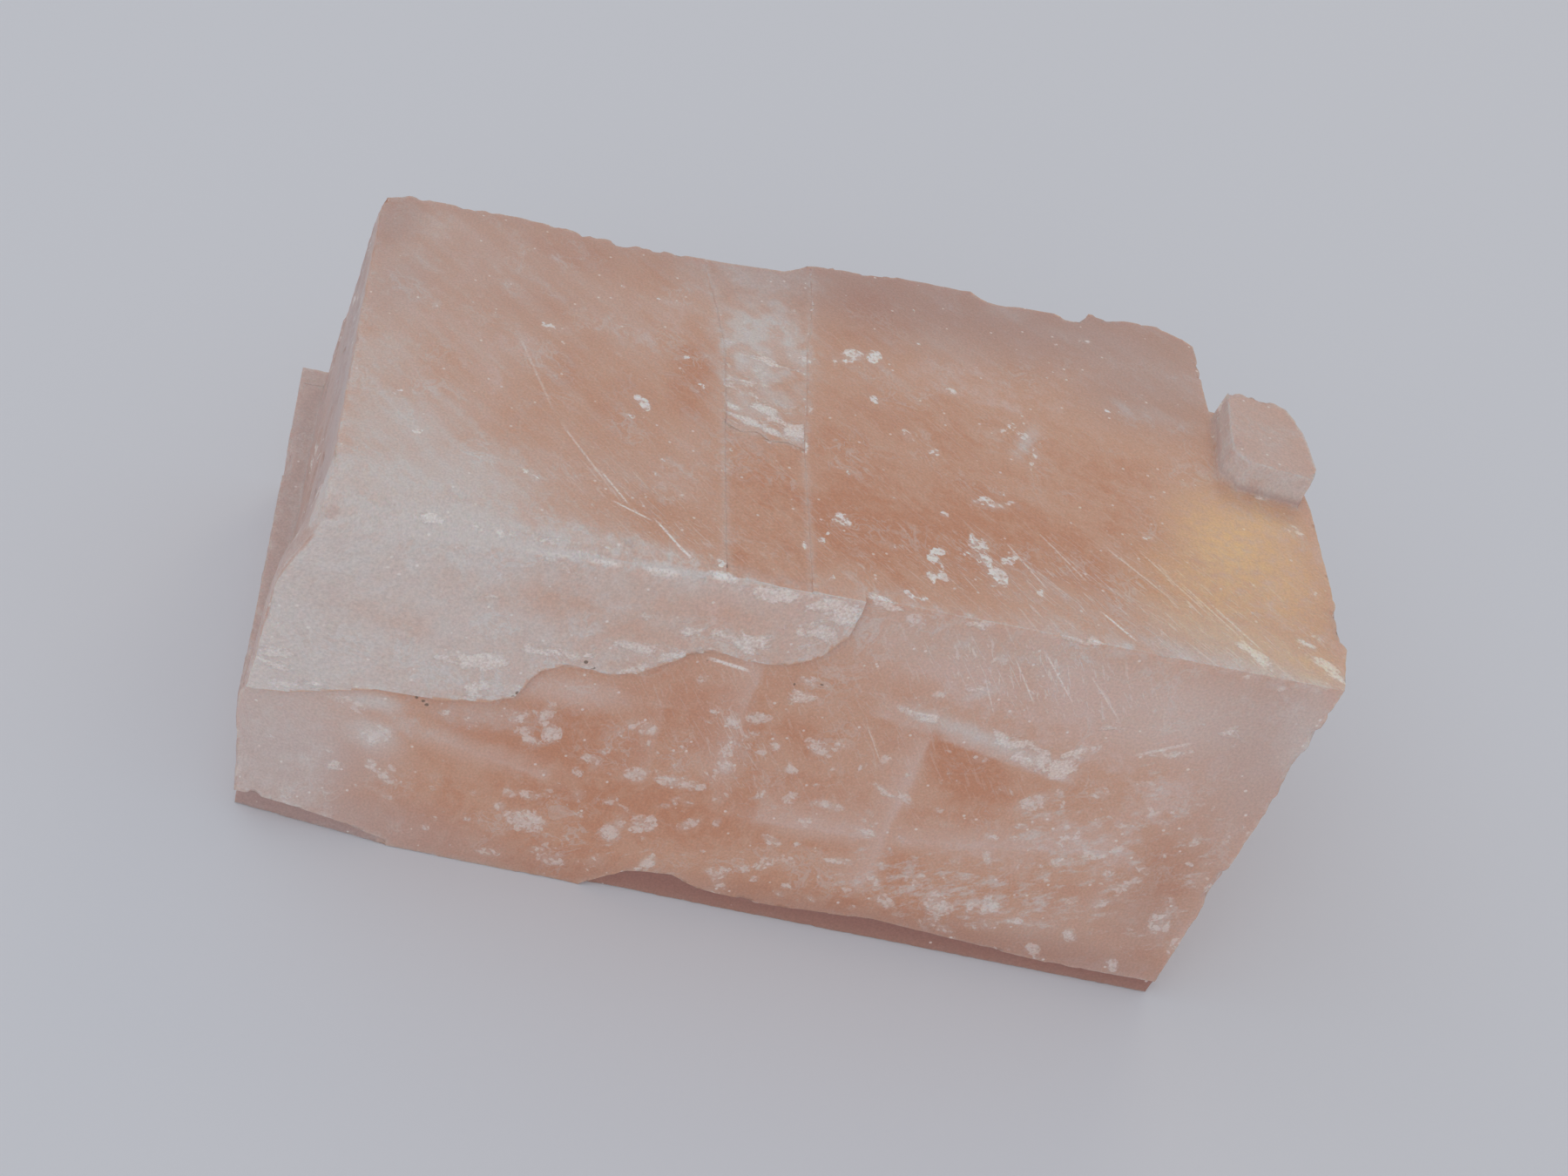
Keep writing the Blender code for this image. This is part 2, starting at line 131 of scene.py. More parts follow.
FRONT_FLECKS = [
    (6.5, 14.4, 0.79, 0.46, -34, 0.75), (4.7, 17, 0.4, 0.29, -13, 0.85), (5.3, 16.9, 0.3, 0.17, -13, 0.5),
    (6.7, 16.5, 0.45, 0.35, 79, 0.65), (7.6, 17.1, 0.38, 0.3, 24, 0.95), (7.9, 16.4, 0.2, 0.23, -13, 0.5),
    (9.6, 12, 0.29, 0.16, -13, 0.9), (13.4, 11.5, 0.54, 0.34, -53, 0.55),
    (13.8, 11, 0.24, 0.27, -13, 0.5), (14.8, 10.8, 0.71, 0.33, -62, 0.75), (15.4, 12, 0.46, 0.51, 11, 1),
    (18, 13.1, 0.52, 0.23, -7, 0.8), (17.5, 14.2, 0.29, 0.28, -13, 0.65),
    (19.9, 10.7, 0.28, 0.28, 23, 0.5), (14.2, 17.5, 0.34, 0.29, -14, 0.7), (15.8, 18.2, 0.91, 0.6, -2, 1),
    (15.5, 17.9, 0.48, 0.29, -71, 0.8), (20.5, 17.9, 0.56, 0.45, -31, 0.95),
    (20.7, 17.1, 0.41, 0.29, -72, 0.75), (22, 16.8, 0.71, 0.5, -31, 0.8),
    (23.1, 19.4, 0.55, 0.37, -47, 0.9), (22.7, 15.3, 0.48, 0.17, -14, 0.55),
    (23.8, 14.8, 0.42, 0.23, -1, 0.5), (22.4, 13.6, 0.66, 0.34, -1, 0.8),
    (23.2, 13.6, 0.29, 0.23, -13, 0.7), (22.4, 12.5, 0.19, 0.17, -13, 0.6),
    (20.4, 13.7, 0.14, 0.17, -13, 0.5), (24.3, 16.2, 0.77, 0.27, -36, 0.75),
    (24.9, 12, 0.42, 0.39, -13, 0.85), (24.6, 11.3, 1.22, 0.42, -86, 0.5), (17.2, 20, 0.68, 0.3, -2, 0.5),
    (18.3, 20.2, 0.53, 0.24, -2, 0.45), (14.5, 20.9, 0.69, 0.3, -8, 0.5),
    (20.3, 20, 0.64, 0.39, -36, 0.5), (10.7, 20, 0.25, 0.24, -14, 0.5),
    (27.2, 18.8, 0.44, 0.24, -14, 0.65), (25.2, 9.7, 0.23, 0.22, -13, 0.7),
    (25.6, 9.4, 0.28, 0.16, -13, 0.6), (28.3, 11.4, 0.33, 0.17, -13, 0.75),
    (27.6, 11.5, 0.28, 0.11, -13, 0.5), (29, 9.4, 0.6, 0.18, 84, 0.6),
    (30.7, 10.8, 0.23, 0.22, -13, 0.55), (31.6, 10.2, 0.4, 0.15, -52, 0.55),
    (27.3, 13.3, 0.37, 0.2, -56, 0.75), (30.7, 13.1, 0.61, 0.28, -1, 0.85),
    (31.4, 13.2, 0.33, 0.23, -14, 0.8), (33.1, 11.4, 0.44, 0.21, 33, 0.8),
    (33.7, 11.7, 0.33, 0.17, 11, 0.8), (32.7, 16.7, 0.71, 0.18, -10, 0.85),
    (31.7, 16.4, 0.19, 0.17, -14, 0.6), (28.9, 18.2, 0.29, 0.24, -14, 0.65),
    (35.1, 17.5, 0.55, 0.26, 54, 0.8), (36.2, 18.8, 0.5, 0.46, 23, 0.7),
    (37.4, 16.7, 0.28, 0.24, -14, 0.65), (39, 18.4, 0.76, 0.54, -2, 1), (38.7, 18, 0.52, 0.34, -77, 0.9),
    (41.7, 17.9, 0.54, 0.29, -38, 0.9), (40.6, 18, 0.54, 0.24, 78, 0.55),
    (43.3, 18.4, 0.47, 0.24, -14, 0.8), (42.1, 19, 0.48, 0.42, -14, 0.5),
    (46.4, 18.6, 0.42, 0.28, 76, 0.95), (45.5, 16.3, 0.48, 0.23, -39, 0.55),
    (47.1, 16, 0.76, 0.23, -33, 0.65), (40.9, 12, 0.41, 0.17, -8, 0.85),
    (43.4, 12.3, 0.29, 0.16, -49, 0.75), (39.7, 13.1, 0.46, 0.17, -1, 0.65),
    (40.1, 14.5, 0.63, 0.19, 65, 0.6), (45.5, 13, 0.55, 0.23, -26, 0.75),
    (46.2, 12.3, 0.39, 0.21, -50, 0.75), (48.1, 14, 0.37, 0.29, -14, 0.5),
    (49.5, 20.1, 0.43, 0.29, 68, 0.85), (45.2, 5.8, 0.7, 0.27, -19, 0.55),
    (46.3, 5.6, 0.7, 0.21, -25, 0.65), (45.7, 7.8, 0.71, 0.22, -13, 0.5),
    (49.7, 10.7, 0.51, 0.25, -71, 0.6), (50.5, 16.7, 0.76, 0.56, -72, 0.7),
    (52, 17.9, 0.65, 0.41, -72, 0.6), (51.1, 13.2, 0.7, 0.47, -62, 0.5),
    (51.1, 10.1, 0.61, 0.34, -71, 0.5),
]

# Where the upper face and the bare front face are frosted.
UPPER_VEILS = [
    (38.4, 15.2, 1.9, 0.45, 72, 0.6), (45.8, 1.8, 5.5, 2.2, -10, 0.5), (1.6, 18, 2.8, 12, 4, 0.4),
    (3.5, 6.2, 4.2, 4, 0, 0.75), (1.5, 11.5, 2.4, 3.5, 0, 0.6), (8.5, 17, 12, 14, 5, 0.25),
    (4.8, 1.6, 6.65, 5.03, 2, 0.85), (1.7, 9.3, 2.78, 6.46, 10, 0.55), (12.1, 1.1, 4.95, 1.55, -10, 0.5),
    (34.6, 23.2, 3.1, 1.59, 2, 0.3), (46.7, 25.7, 5.68, 2.02, -7, 0.3), (48.3, 23.7, 3.11, 2.2, 2, 0.4),
    (46.6, 20.2, 2.99, 0.86, -7, 0.4), (2.7, 25, 3.16, 2.28, 2, 0.45),
    (11.5, 17.6, 3.15, 0.94, -14, 0.25), (16.1, 4.9, 2.75, 3.99, 17, 0.25),
    (8.1, 6.8, 1.83, 4.18, 17, 0.35), (19, 8.6, 1.42, 4.18, 17, 0.3), (24.2, 26.6, 3.74, 2.03, 10, 0.65),
    (42.5, 26.6, 2.1, 0.93, -7, 0.5), (29.9, 18, 2.59, 4.66, 18, 0.2), (38.8, 2.7, 5.21, 1.97, -14, 0.35),
    (39.5, 27.9, 1.6, 1.13, 2, 0.5),
]
FRONT_FROST = [
    (6.3, 14.4, 1.5, 1.2, 10, 0.7), (8.6, 13.4, 2.6, 0.9, 5, 0.45), (11.5, 11.7, 3.8, 1, -8, 0.5),
    (36.4, 6.9, 4.4, 0.6, 12, 0.7), (5.9, 12.2, 1.7, 0.7, 4, 0.75), (15.6, 9, 3, 0.8, -4, 0.25),
    (51.6, 3, 1.8, 3.6, -12, 0.55), (35.6, 4.2, 1.3, 0.3, -35, 0.6), (36, 1.4, 11, 1.9, -3, 0.45),
    (46, 2.6, 6, 3.2, -10, 0.42), (50.6, 5, 2, 6, -12, 0.25), (49, 17.5, 3, 3, -20, 0.08),
    (43, 18.6, 4, 1.4, 0, 0.3),
]

# Pale veils behind the front face.
FRONT_VEILS = [
    (15.6, 9.2, 3, 0.8, -4, 0.7), (12.6, 14.2, 3.29, 0.7, 3, 0.5), (30.5, 14.8, 3.52, 0.69, 1, 0.55),
    (38.2, 13.8, 5.54, 0.75, -8, 0.55), (44.5, 11.8, 2.73, 0.68, -8, 0.4),
    (33.8, 10.9, 3.24, 0.84, -83, 0.5), (34.5, 15.7, 2, 0.57, -83, 0.45),
    (38.6, 3.7, 7.46, 1.46, -4, 0.55), (48.7, 8.8, 4.49, 1.92, -76, 0.2),
    (2.8, 15.7, 4.71, 2.94, -29, 0.5), (49.9, 15.5, 3.22, 1.49, -76, 0.1),
    (44.4, 4.6, 3.91, 1.59, -13, 0.4), (25.5, 2.4, 2.65, 1.54, -1, 0.25),
    (24.8, 10.7, 3.27, 0.65, -86, 0.35),
]

# Where the inside is the deepest orange.
UPPER_ORANGE = [
    (33.5, 5.5, 10, 3, -8, 0.75), (30, 14, 6, 4, 0, 0.45), (23.3, 7, 2.2, 5, 0, 0.6),
    (19.6, 16.4, 1.38, 4.35, 2, 0.7), (24.1, 7.2, 2.84, 4.05, 17, 0.5), (21.5, 1.1, 0.54, 1.39, 16, 0.8),
    (28.7, 5.8, 5.47, 4.03, 2, 0.8), (35.9, 7.8, 6.83, 4.15, -14, 0.7),
    (40.4, 11.9, 4.69, 4.43, -15, 0.5), (30.4, 23.2, 3.11, 3.91, 2, 0.5),
    (11.7, 12.4, 2.02, 4.26, -14, 0.5), (14.7, 11, 2.87, 4.38, 18, 0.4),
    (17.5, 3.3, 2.91, 1.51, -26, 0.5), (25.6, 2.3, 0.91, 1.15, 16, 0.7), (42.9, 9.8, 2.99, 4.03, 16, 0.5),
    (14.5, 25.2, 7.39, 2.26, -2, 0.4), (9.4, 19.9, 4.06, 2.54, 2, 0.3),
    (47.2, 23.3, 1.53, 0.72, -16, 0.4), (20.3, 6.1, 1.39, 4.02, 17, 0.3),
]
FRONT_ORANGE = [
    (15.5, 12.4, 7.5, 2.7, -6, 1.1), (35.5, 12.9, 2.4, 1.6, 0, 0.5), (42, 16.8, 3.2, 1.6, -3, 0.5),
    (49.6, 13.5, 1.4, 4, 0, 0.45), (22.5, 9.6, 4, 3, 0, 0.95), (12.5, 19.5, 8, 2.6, 3, 0.55),
    (32.5, 8.5, 2.2, 3.4, -10, 0.45), (36.1, 16.3, 1.9, 1.4, -5, 0.5), (20, 15.5, 9, 3.5, 0, 0.7),
    (44.5, 15.6, 3, 2, 0, 0.4), (51, 18.9, 1.4, 0.6, 0, 0.6), (36, 18.6, 14, 1.5, -2, 0.45),
    (30, 12.6, 3, 1.6, 0, 0.65), (20.7, 15.5, 5.21, 1.76, -4, 0.8), (27.4, 9.5, 2.06, 1.54, -1, 0.7),
    (36.8, 9.2, 2.95, 1.79, 33, 0.9), (38.5, 12.1, 3.21, 1.02, -8, 0.5), (36.6, 16.3, 2.2, 0.9, -4, 0.45),
    (31.4, 15.8, 3.07, 0.82, 3, 0.6), (17.6, 9, 4.15, 1.09, -7, 0.4), (32.1, 5.1, 1.56, 0.94, -1, 0.6),
    (36.7, 2.5, 1.99, 0.68, 51, 0.4), (42.4, 9.3, 2.72, 1.37, -1, 0.4), (11.4, 17, 2.87, 1.49, -1, 0.5),
    (43.5, 17.2, 2.81, 1.19, -8, 0.45), (48.3, 12, 1.6, 0.96, -80, 0.5),
]

# Crushed streaks on the front face, and streaks and pink gaps in the outer layer left on it.
FRONT_CRUSH = [
    (39.3, 7.3, 1.9, 0.8, 12, 0.8), (41.3, 7.7, 1.24, 0.66, -54, 0.95), (33.5, 6.4, 2.2, 0.3, 12, 0.6),
    (27, 6.5, 1.3, 0.54, -44, 0.65), (35.1, 4, 1.34, 0.36, -30, 0.6), (41.8, 4.4, 1.15, 0.83, -1, 0.5),
    (48.8, 3.5, 2.13, 0.74, -23, 0.45),
]
LAMINA_CRUSH = [
    (8.3, 8.3, 0.9, 0.4, -10, 0.7), (10.4, 8, 1.4, 0.5, -13, 0.9), (10.6, 9.6, 1, 0.4, -20, 0.8),
    (0.9, 7.6, 0.9, 0.5, 75, 0.6), (1.4, 10.2, 1, 0.8, 60, 0.8), (2.4, 11.9, 1.8, 0.45, 0, 0.7),
    (14.2, 6.5, 3, 0.3, -6, 0.7), (19, 5.2, 2.2, 0.4, -4, 0.8), (18, 3.2, 2.6, 0.4, 2, 0.45),
    (21, 3.5, 1.9, 0.4, -5, 0.6), (23.6, 3.8, 1.7, 0.6, -10, 0.8), (25.9, 2.2, 1.2, 1.3, -20, 0.8),
    (25.2, 0.6, 2.4, 0.42, 0, 1.5), (26.9, 0.9, 0.9, 0.5, 0, 1.5), (13.4, 1.4, 1.6, 0.4, 8, 0.5),
    (9.6, 3.9, 0.9, 0.5, -30, 0.5), (6, 3.2, 1.2, 0.3, 10, 0.4),
]
LAMINA_PINK = [
    (5.8, 6.5, 1.7, 0.9, 20, 0.6), (12.6, 3.6, 2.6, 0.9, -5, 0.5), (17.4, 4.4, 1.9, 0.6, 0, 0.6),
    (21.6, 2.3, 2.3, 0.7, 0, 0.6), (3.2, 8.6, 1.6, 0.8, 0, 0.4),
]

# Crushed places along the ridge, with c - b, the way across it, as the second number.
RIDGE_CRUSH = [
    (28.9, 0.1, 0.9, 0.4, 10, 0.9), (33.4, 0.1, 0.6, 0.35, 20, 0.8), (38.4, 0.2, 0.9, 0.25, 10, 0.9),
    (39.7, 0, 0.5, 0.25, 10, 0.8), (5.9, 0.3, 0.9, 0.35, 0, 1), (7.8, 0.4, 1, 0.3, 0, 1),
    (9.6, 0.4, 0.7, 0.35, 0, 0.9), (11.6, 0.3, 1, 0.35, -3, 0.9), (13.4, 0.6, 0.9, 0.3, -3, 0.7),
    (16, 0.7, 2, 0.25, 0, 0.5), (20.4, 0.5, 0.9, 0.3, 0, 0.8),
]

# Crushed white strokes in the window, and the haze in and around it.
WINDOW_CRUSH = [
    (23.4, 12.15, 2.3, 0.26, -19, 1), (25.1, 12.1, 0.8, 0.75, -30, 1), (23.6, 13.6, 1.1, 0.5, -25, 1),
    (21.9, 13.4, 0.8, 0.35, -20, 0.9), (23.9, 18.2, 0.8, 0.45, -30, 0.8),
    (22.2, 15.9, 1.1, 0.4, -15, 0.7), (21.4, 15.6, 0.25, 2.4, 0, 0.6), (25.9, 14.1, 0.5, 0.4, -20, 0.6),
    (24.8, 16.3, 1.2, 0.28, -35, 0.5), (23, 17.2, 1.3, 0.25, -10, 0.45),
    (24.7, 14.9, 0.9, 0.25, -30, 0.5), (22.8, 14.7, 0.9, 0.22, -62, 0.5),
    (24.2, 20.3, 1.2, 0.4, -25, 0.35),
]
WINDOW_HAZE = [
    (23.6, 20, 3, 5.5, 8, 0.75), (20, 25, 2.4, 3.6, 10, 0.4), (26.6, 21, 1.6, 3, 20, 0.35),
    (23.4, 15, 2.4, 4, 0, 0.5),
]

# The duller, darker margin along the back edge.
BACK_MARGIN = [
    (37, 28.8, 20, 5, -4, 0.8), (12, 29.8, 16, 2.2, 0, 0.5), (47, 23.5, 4.5, 4, -10, 0.6),
    (1.2, 25.5, 1.6, 3.5, 0, 0.6), (2, 19, 1.6, 3, 0, 0.3),
]

# Greyer pink on the upper and the front face, and the shaded right and lower rims of the front.
UPPER_MAUVE = [
    (7, 25, 9, 8, 0, 0.3),
]
FRONT_MAUVE = [
    (0.5, 17, 5.5, 4, 0, 0.75), (4.5, 20.5, 9, 2.2, 4, 0.6), (48.5, 18.5, 4.5, 3.2, -10, 0.25),
    (50.8, 5, 3, 6, -12, 0.5), (52, 9, 2.2, 9, -4, 0.3),
]
FRONT_SHADE = [
    (37, 20.9, 18, 1.5, -2, 0.5), (49.7, 15, 2, 4.5, 0, 0.22),
]

# Where the front face has many small pale dashes.
FRONT_DASHES = [
    (24, 12.5, 7, 3.2, 0, 0.45), (14, 12, 6, 2.4, 0, 0.12), (18, 18.5, 9, 1.6, 2, 0.5),
    (32, 12, 5, 4, 0, 0.4), (40, 17, 9, 2.6, -3, 0.85), (44, 12.5, 5, 4, 0, 0.75),
    (50, 13.5, 2.5, 6, -8, 0.6), (50.5, 17.5, 2.2, 2.4, 0, 0.6), (40, 7, 5, 2, 0, 0.4),
    (47, 8, 3.6, 4.4, 0, 0.6),
]

# Specks of dirt.
DIRT_FRONT = [
    (13.1, 8.8, 0.2, 0.1, -34, 0.7), (14.4, 8.5, 0.09, 0.11, -13, 1), (14.4, 7.5, 0.09, 0.11, -13, 0.9),
    (15.9, 7, 0.23, 0.16, 22, 0.9), (15.7, 6.8, 0.19, 0.1, -13, 0.8), (16.3, 4, 0.09, 0.1, -13, 0.7),
    (21.3, 4.9, 0.09, 0.1, -13, 1), (21.6, 5.5, 0.07, 0.08, -13, 0.8), (26.9, 3.8, 0.15, 0.07, -55, 0.8),
    (27.4, 3.1, 0.14, 0.1, -45, 1), (27.9, 2.5, 0.09, 0.08, -13, 0.7), (27.7, 5.7, 0.09, 0.1, -13, 0.9),
    (34.1, 5.3, 0.15, 0.09, -67, 1), (29.6, 0.8, 0.09, 0.1, -13, 0.7), (8.2, 11.4, 0.47, 0.22, 35, 0.6),
    (12.7, 9.6, 0.43, 0.24, -53, 0.4), (15.3, 1.7, 0.09, 0.1, -12, 0.6), (26.5, 5.9, 0.14, 0.1, -13, 0.5),
    (33.9, 8.9, 0.14, 0.11, -13, 0.5), (37, 8.6, 0.32, 0.05, -1, 0.5),
]
DIRT_UPPER = [
    (9.1, 23.9, 0.1, 0.27, 19, 0.6), (47.5, 8.6, 0.15, 0.13, 16, 0.8), (25, 1.5, 0.13, 0.25, 16, 0.7),
    (20.7, 0.4, 0.09, 0.25, 16, 0.5),
]

# Single thin scratches.
UPPER_SCRATCHES = [
    (10.5, 12.9, 4, 0.1, -60, 0.25), (13.3, 6.9, 3.1, 0.09, -50, 0.45), (15, 4.6, 1.7, 0.08, -48, 0.7),
    (15.9, 3.1, 1.4, 0.09, -22, 0.8), (17.9, 1.7, 1.7, 0.09, -46, 0.9), (18.6, 0.8, 0.7, 0.11, -40, 0.9),
    (6, -0.2, 0.9, 0.16, -2, 1), (7.9, -0.25, 1.1, 0.12, -3, 1), (9.2, -0.3, 0.6, 0.1, 2, 0.9),
    (11.9, -0.3, 1.6, 0.1, 0, 0.7), (14.7, -0.3, 1, 0.1, 0, 0.7), (17.6, -0.3, 1.1, 0.1, 0, 0.6),
    (20.5, -0.2, 0.5, 0.16, -6, 0.9), (41, 1.5, 1.4, 0.09, -42, 0.9), (47.9, 1.5, 1.2, 0.16, -51, 1),
    (47.8, 1.3, 1.2, 0.16, -50, 1), (43, 5.8, 2.8, 0.08, -41, 0.5), (44.8, 5.6, 3.3, 0.08, -47, 0.5),
    (36.8, 4.7, 2.3, 0.07, -52, 0.5), (38.9, 6, 2.5, 0.07, -49, 0.45), (46.3, 4.1, 2.8, 0.08, -47, 0.6),
    (47.4, 3.2, 2.3, 0.09, -47, 0.7), (51.7, 1.6, 0.5, 0.18, -45, 1), (52, 0.8, 0.6, 0.15, -30, 1),
    (51, 2.9, 0.6, 0.16, -14, 0.7),
]
FRONT_SCRATCHES = [
    (37.2, 3, 1.6, 0.07, 58, 0.45), (38.7, 2.4, 2, 0.07, 52, 0.5), (36, 4.4, 1.2, 0.06, 66, 0.4),
    (41.5, 3.2, 1.7, 0.07, 48, 0.35), (31.6, 8.6, 1.4, 0.06, 62, 0.35), (22.8, 5.5, 1.3, 0.16, 7, 0.8),
    (45.5, 5.5, 1.8, 0.12, -28, 0.4),
]

# Where fine scratches cover the upper face, and streaks the front face.
SCRATCHED = [
    (38, 3.6, 9, 3.4, 0, 0.8), (46.5, 4, 5.5, 4.6, 0, 1), (47.9, 1.2, 2.2, 1, -48, 1),
    (17, 3.5, 6, 2.6, -35, 0.6), (29, 4, 7, 3.5, 0, 0.4), (28, 14, 22, 12, 0, 0.22),
]
STREAKED = [
    (37, 2.6, 6, 2, 0, 0.8), (28, 8, 14, 5, 0, 0.3), (25, 10.6, 2.6, 1.6, 80, 0.7),
]

# A painted golden sheen at the ridge's right end: the reflection of warm light, painted into the colour.
GOLD_SHEEN_PAINTED = [
    (48.9, 9.6, 2.8, 3.6, 10, 0.9), (50.9, 8, 2.2, 4.2, 5, 0.6), (45.6, 3.4, 3.4, 1.8, -30, 0.4),
    (50.6, 11.4, 2.2, 2.2, 10, 0.7), (47, 6.2, 3.2, 2.6, -30, 0.6), (48.4, 2.4, 3.4, 1.7, -8, 0.4),
    (50.8, 1.4, 1.6, 1.1, -8, 0.5), (51.5, 6.2, 1.6, 3.2, 8, 0.35),
]

# Flat veils behind the front face. Going from the first point to the second, the veil is on the
# left: it is sharp at the line and fades away from it. Each is (a, c, a, c, fading width, strength).
FRONT_SHEETS = [
    (25.1, 13, 24.6, 4.8, 1.6, 0.7), (21.3, 14.4, 20.7, 8, 1.6, 0.35), (34.9, 18.6, 34.4, 7.4, 1.1, 1),
    (33.2, 9.6, 34.6, 14.8, 0.8, 0.3), (27.4, 15.3, 34.6, 14.9, 1.5, 1), (34.6, 15, 46.8, 12.7, 1.2, 0.8),
    (30.6, 6.9, 34.5, 7.6, 0.9, 0.9), (34.5, 7.6, 42.4, 9, 1.4, 0.9), (9.2, 14, 16.3, 15.3, 0.6, 1),
    (42.9, 16, 42.1, 10.2, 1.5, 0.35), (47.5, 17.5, 46.2, 9, 1.2, 0.3), (17.5, 9.4, 24.3, 8.7, 1.8, 0.25),
]


# ---------------------------------------------------------------- settings


def length_setting(name, description, default, least, most):
    """A setting that is a length, from numbers in mm."""
    return FloatProperty(
        name=name,
        description=description,
        default=default * MM,
        min=least * MM,
        max=most * MM,
        unit="LENGTH",
    )


def plain_setting(name, description, default, least, most):
    """A setting that is a number with its own unit."""
    return FloatProperty(name=name, description=description, default=default, min=least, max=most)


def colour_setting(name, description, default):
    """A setting that is a scene-linear colour."""
    return FloatVectorProperty(
        name=name, description=description, default=default, size=3, min=0.0, max=1.0, subtype="COLOR"
    )


class CalciteSizes(bpy.types.PropertyGroup):
    """Sizes of the crystal's surface detail."""

    mesh_step: length_setting(
        "Mesh step",
        "Width of the mesh's facets on the hidden faces; the shown ones are twice as fine",
        0.44,
        0.3,
        2.0,
    )
    edge_wear: length_setting("Edge wear", "How deep the crystal's edges are worn", 0.05, 0.0, 0.5)
    edge_chips: length_setting("Edge chips", "How deep the chips along the edges are", 0.34, 0.0, 1.0)
    face_relief: length_setting(
        "Face relief", "How much the cleavage faces swell and sink", 0.035, 0.0, 0.5
    )
    break_step: length_setting(
        "Break step", "Height of one small step on the broken ends", 0.12, 0.0, 0.5
    )


class CalciteColours(bpy.types.PropertyGroup):
    """Colours of the calcite, as scene-linear values."""

    rose: colour_setting("Rose", "The body colour of the clearer calcite", (0.715, 0.415, 0.290))
    ember: colour_setting(
        "Ember", "The most saturated orange inside the crystal", (0.655, 0.303, 0.180)
    )
    peach: colour_setting("Peach", "Pale veils inside the crystal", (0.765, 0.54, 0.46))
    frost: colour_setting("Frost", "The grey-white frosting of worn faces", (0.76, 0.68, 0.64))
    chalk: colour_setting("Chalk", "Crushed white calcite", (1.0, 0.93, 0.88))
    # Deep clean colour of the set-back faces, also used as painted shade under the front's overhang, at
    # the block's foot and along the front's lower rims.
    umber_and_shade: colour_setting("Umber", "The deep, clean faces that are set back", (0.40, 0.195, 0.155))
    # Dull grey-pink of the broken ends, also used as painted shade on the left end, its ledge and the
    # left foot.
    mauve_and_shade: colour_setting("Mauve", "The dull grey-pink of the broken ends", (0.61, 0.472, 0.44))
    dirt: colour_setting("Dirt", "Specks of dirt along the steps", (0.16, 0.11, 0.07))
    # Colour of the painted golden sheen: a reflection of warm light at the ridge's right end, painted
    # into the colour.
    painted_gold_sheen: colour_setting("Gold", "The pearly glow at the ridge's right end", (0.95, 0.70, 0.42))


class StageSettings(bpy.types.PropertyGroup):
    """The paper, the lights and the camera."""

    paper: colour_setting("Paper", "Colour of the paper", (0.81, 0.825, 0.865))
    sky: plain_setting(
        "Sky strength", "Brightness of the even light from all round", 0.57, 0.0, 5.0
    )
    window: plain_setting(
        "Window power", "Power of the large soft light at the back left, in watts", 0.5, 0.0, 500.0
    )
    fill: plain_setting(
        "Fill power", "Power of the large soft light in front, in watts", 1.6, 0.0, 500.0
    )
    lens: plain_setting(
        "Focal length",
        "The camera's focal length, in mm on a 36 mm wide sensor",
        40.03,
        10.0,
        200.0,
    )


# ---------------------------------------------------------------- the crystal's mesh


def to_layers():
    """The matrix from metres in the specimen's frame to mm along the cleavage directions."""
    ways = Matrix(WAYS).transposed().inverted().to_4x4()
    return ways @ Matrix.Translation(-BLUNT_CORNER) @ Matrix.Scale(1.0 / MM, 4)


def merged_rhomb():
    """A bmesh of the rhomb's solid, with its loose triangles merged and its flat faces made whole."""
    rhomb = bmesh.new()
    rhomb.from_mesh(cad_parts[NODE].data)
    bmesh.ops.remove_doubles(rhomb, verts=rhomb.verts, dist=0.002 * MM)
    bmesh.ops.dissolve_limit(rhomb, angle_limit=radians(0.3), verts=rhomb.verts, edges=rhomb.edges)
    return rhomb


def cut_into_layers(rhomb, step):
    """Cuts every face along planes of the three cleavages, so that all edges stay where they are."""
    layers = to_layers()
    for turn in range(3):
        across, down = [WAYS[other] for other in range(3) if other != turn]
        normal = across.cross(down).normalized()
        reach = [(layers @ vert.co)[turn] * MM for vert in rhomb.verts]
        level = min(reach) + FIRST_CUT * step
        while level < max(reach):
            bmesh.ops.bisect_plane(
                rhomb,
                geom=rhomb.verts[:] + rhomb.edges[:] + rhomb.faces[:],
                dist=1e-7,
                plane_co=BLUNT_CORNER * MM + WAYS[turn] * level,
                plane_no=normal,
            )
            level += step


def split_large_faces(rhomb):
    """Makes triangles of the faces with more than four corners."""
    bmesh.ops.triangulate(rhomb, faces=[face for face in rhomb.faces if len(face.verts) > 4])
    rhomb.normal_update()


def refine_shown_faces(rhomb):
    """Makes the mesh of the upper and the front face twice as fine."""
    split_large_faces(rhomb)
    shown = set()
    for face in rhomb.faces:
        if face.normal.dot(FACE_UP) > 0.9 or face.normal.dot(FACE_FRONT) > 0.9:
            shown.update(face.edges)
    bmesh.ops.subdivide_edges(rhomb, edges=list(shown), cuts=1, use_grid_fill=True)
    split_large_faces(rhomb)
    rhomb.verts.index_update()


def noise_field(spots, scale, seed):
    """Smooth noise from -1 to 1 at these points, in mm, with features of about 1 / scale mm."""
    shift = Vector((seed * 17.3, seed * -9.1, seed * 5.7))
    return np.array([noise.noise(Vector(spot) * scale + shift) for spot in spots])


def smooth_between(low, high, values):
    """0 below low, 1 above high and a smooth rise between them."""
    rise = np.clip((values - low) / (high - low), 0.0, 1.0)
    return rise * rise * (3.0 - 2.0 * rise)


def fading(low, high, values):
    """1 below low, 0 above high and a smooth fall between them."""
    return 1.0 - smooth_between(low, high, values)


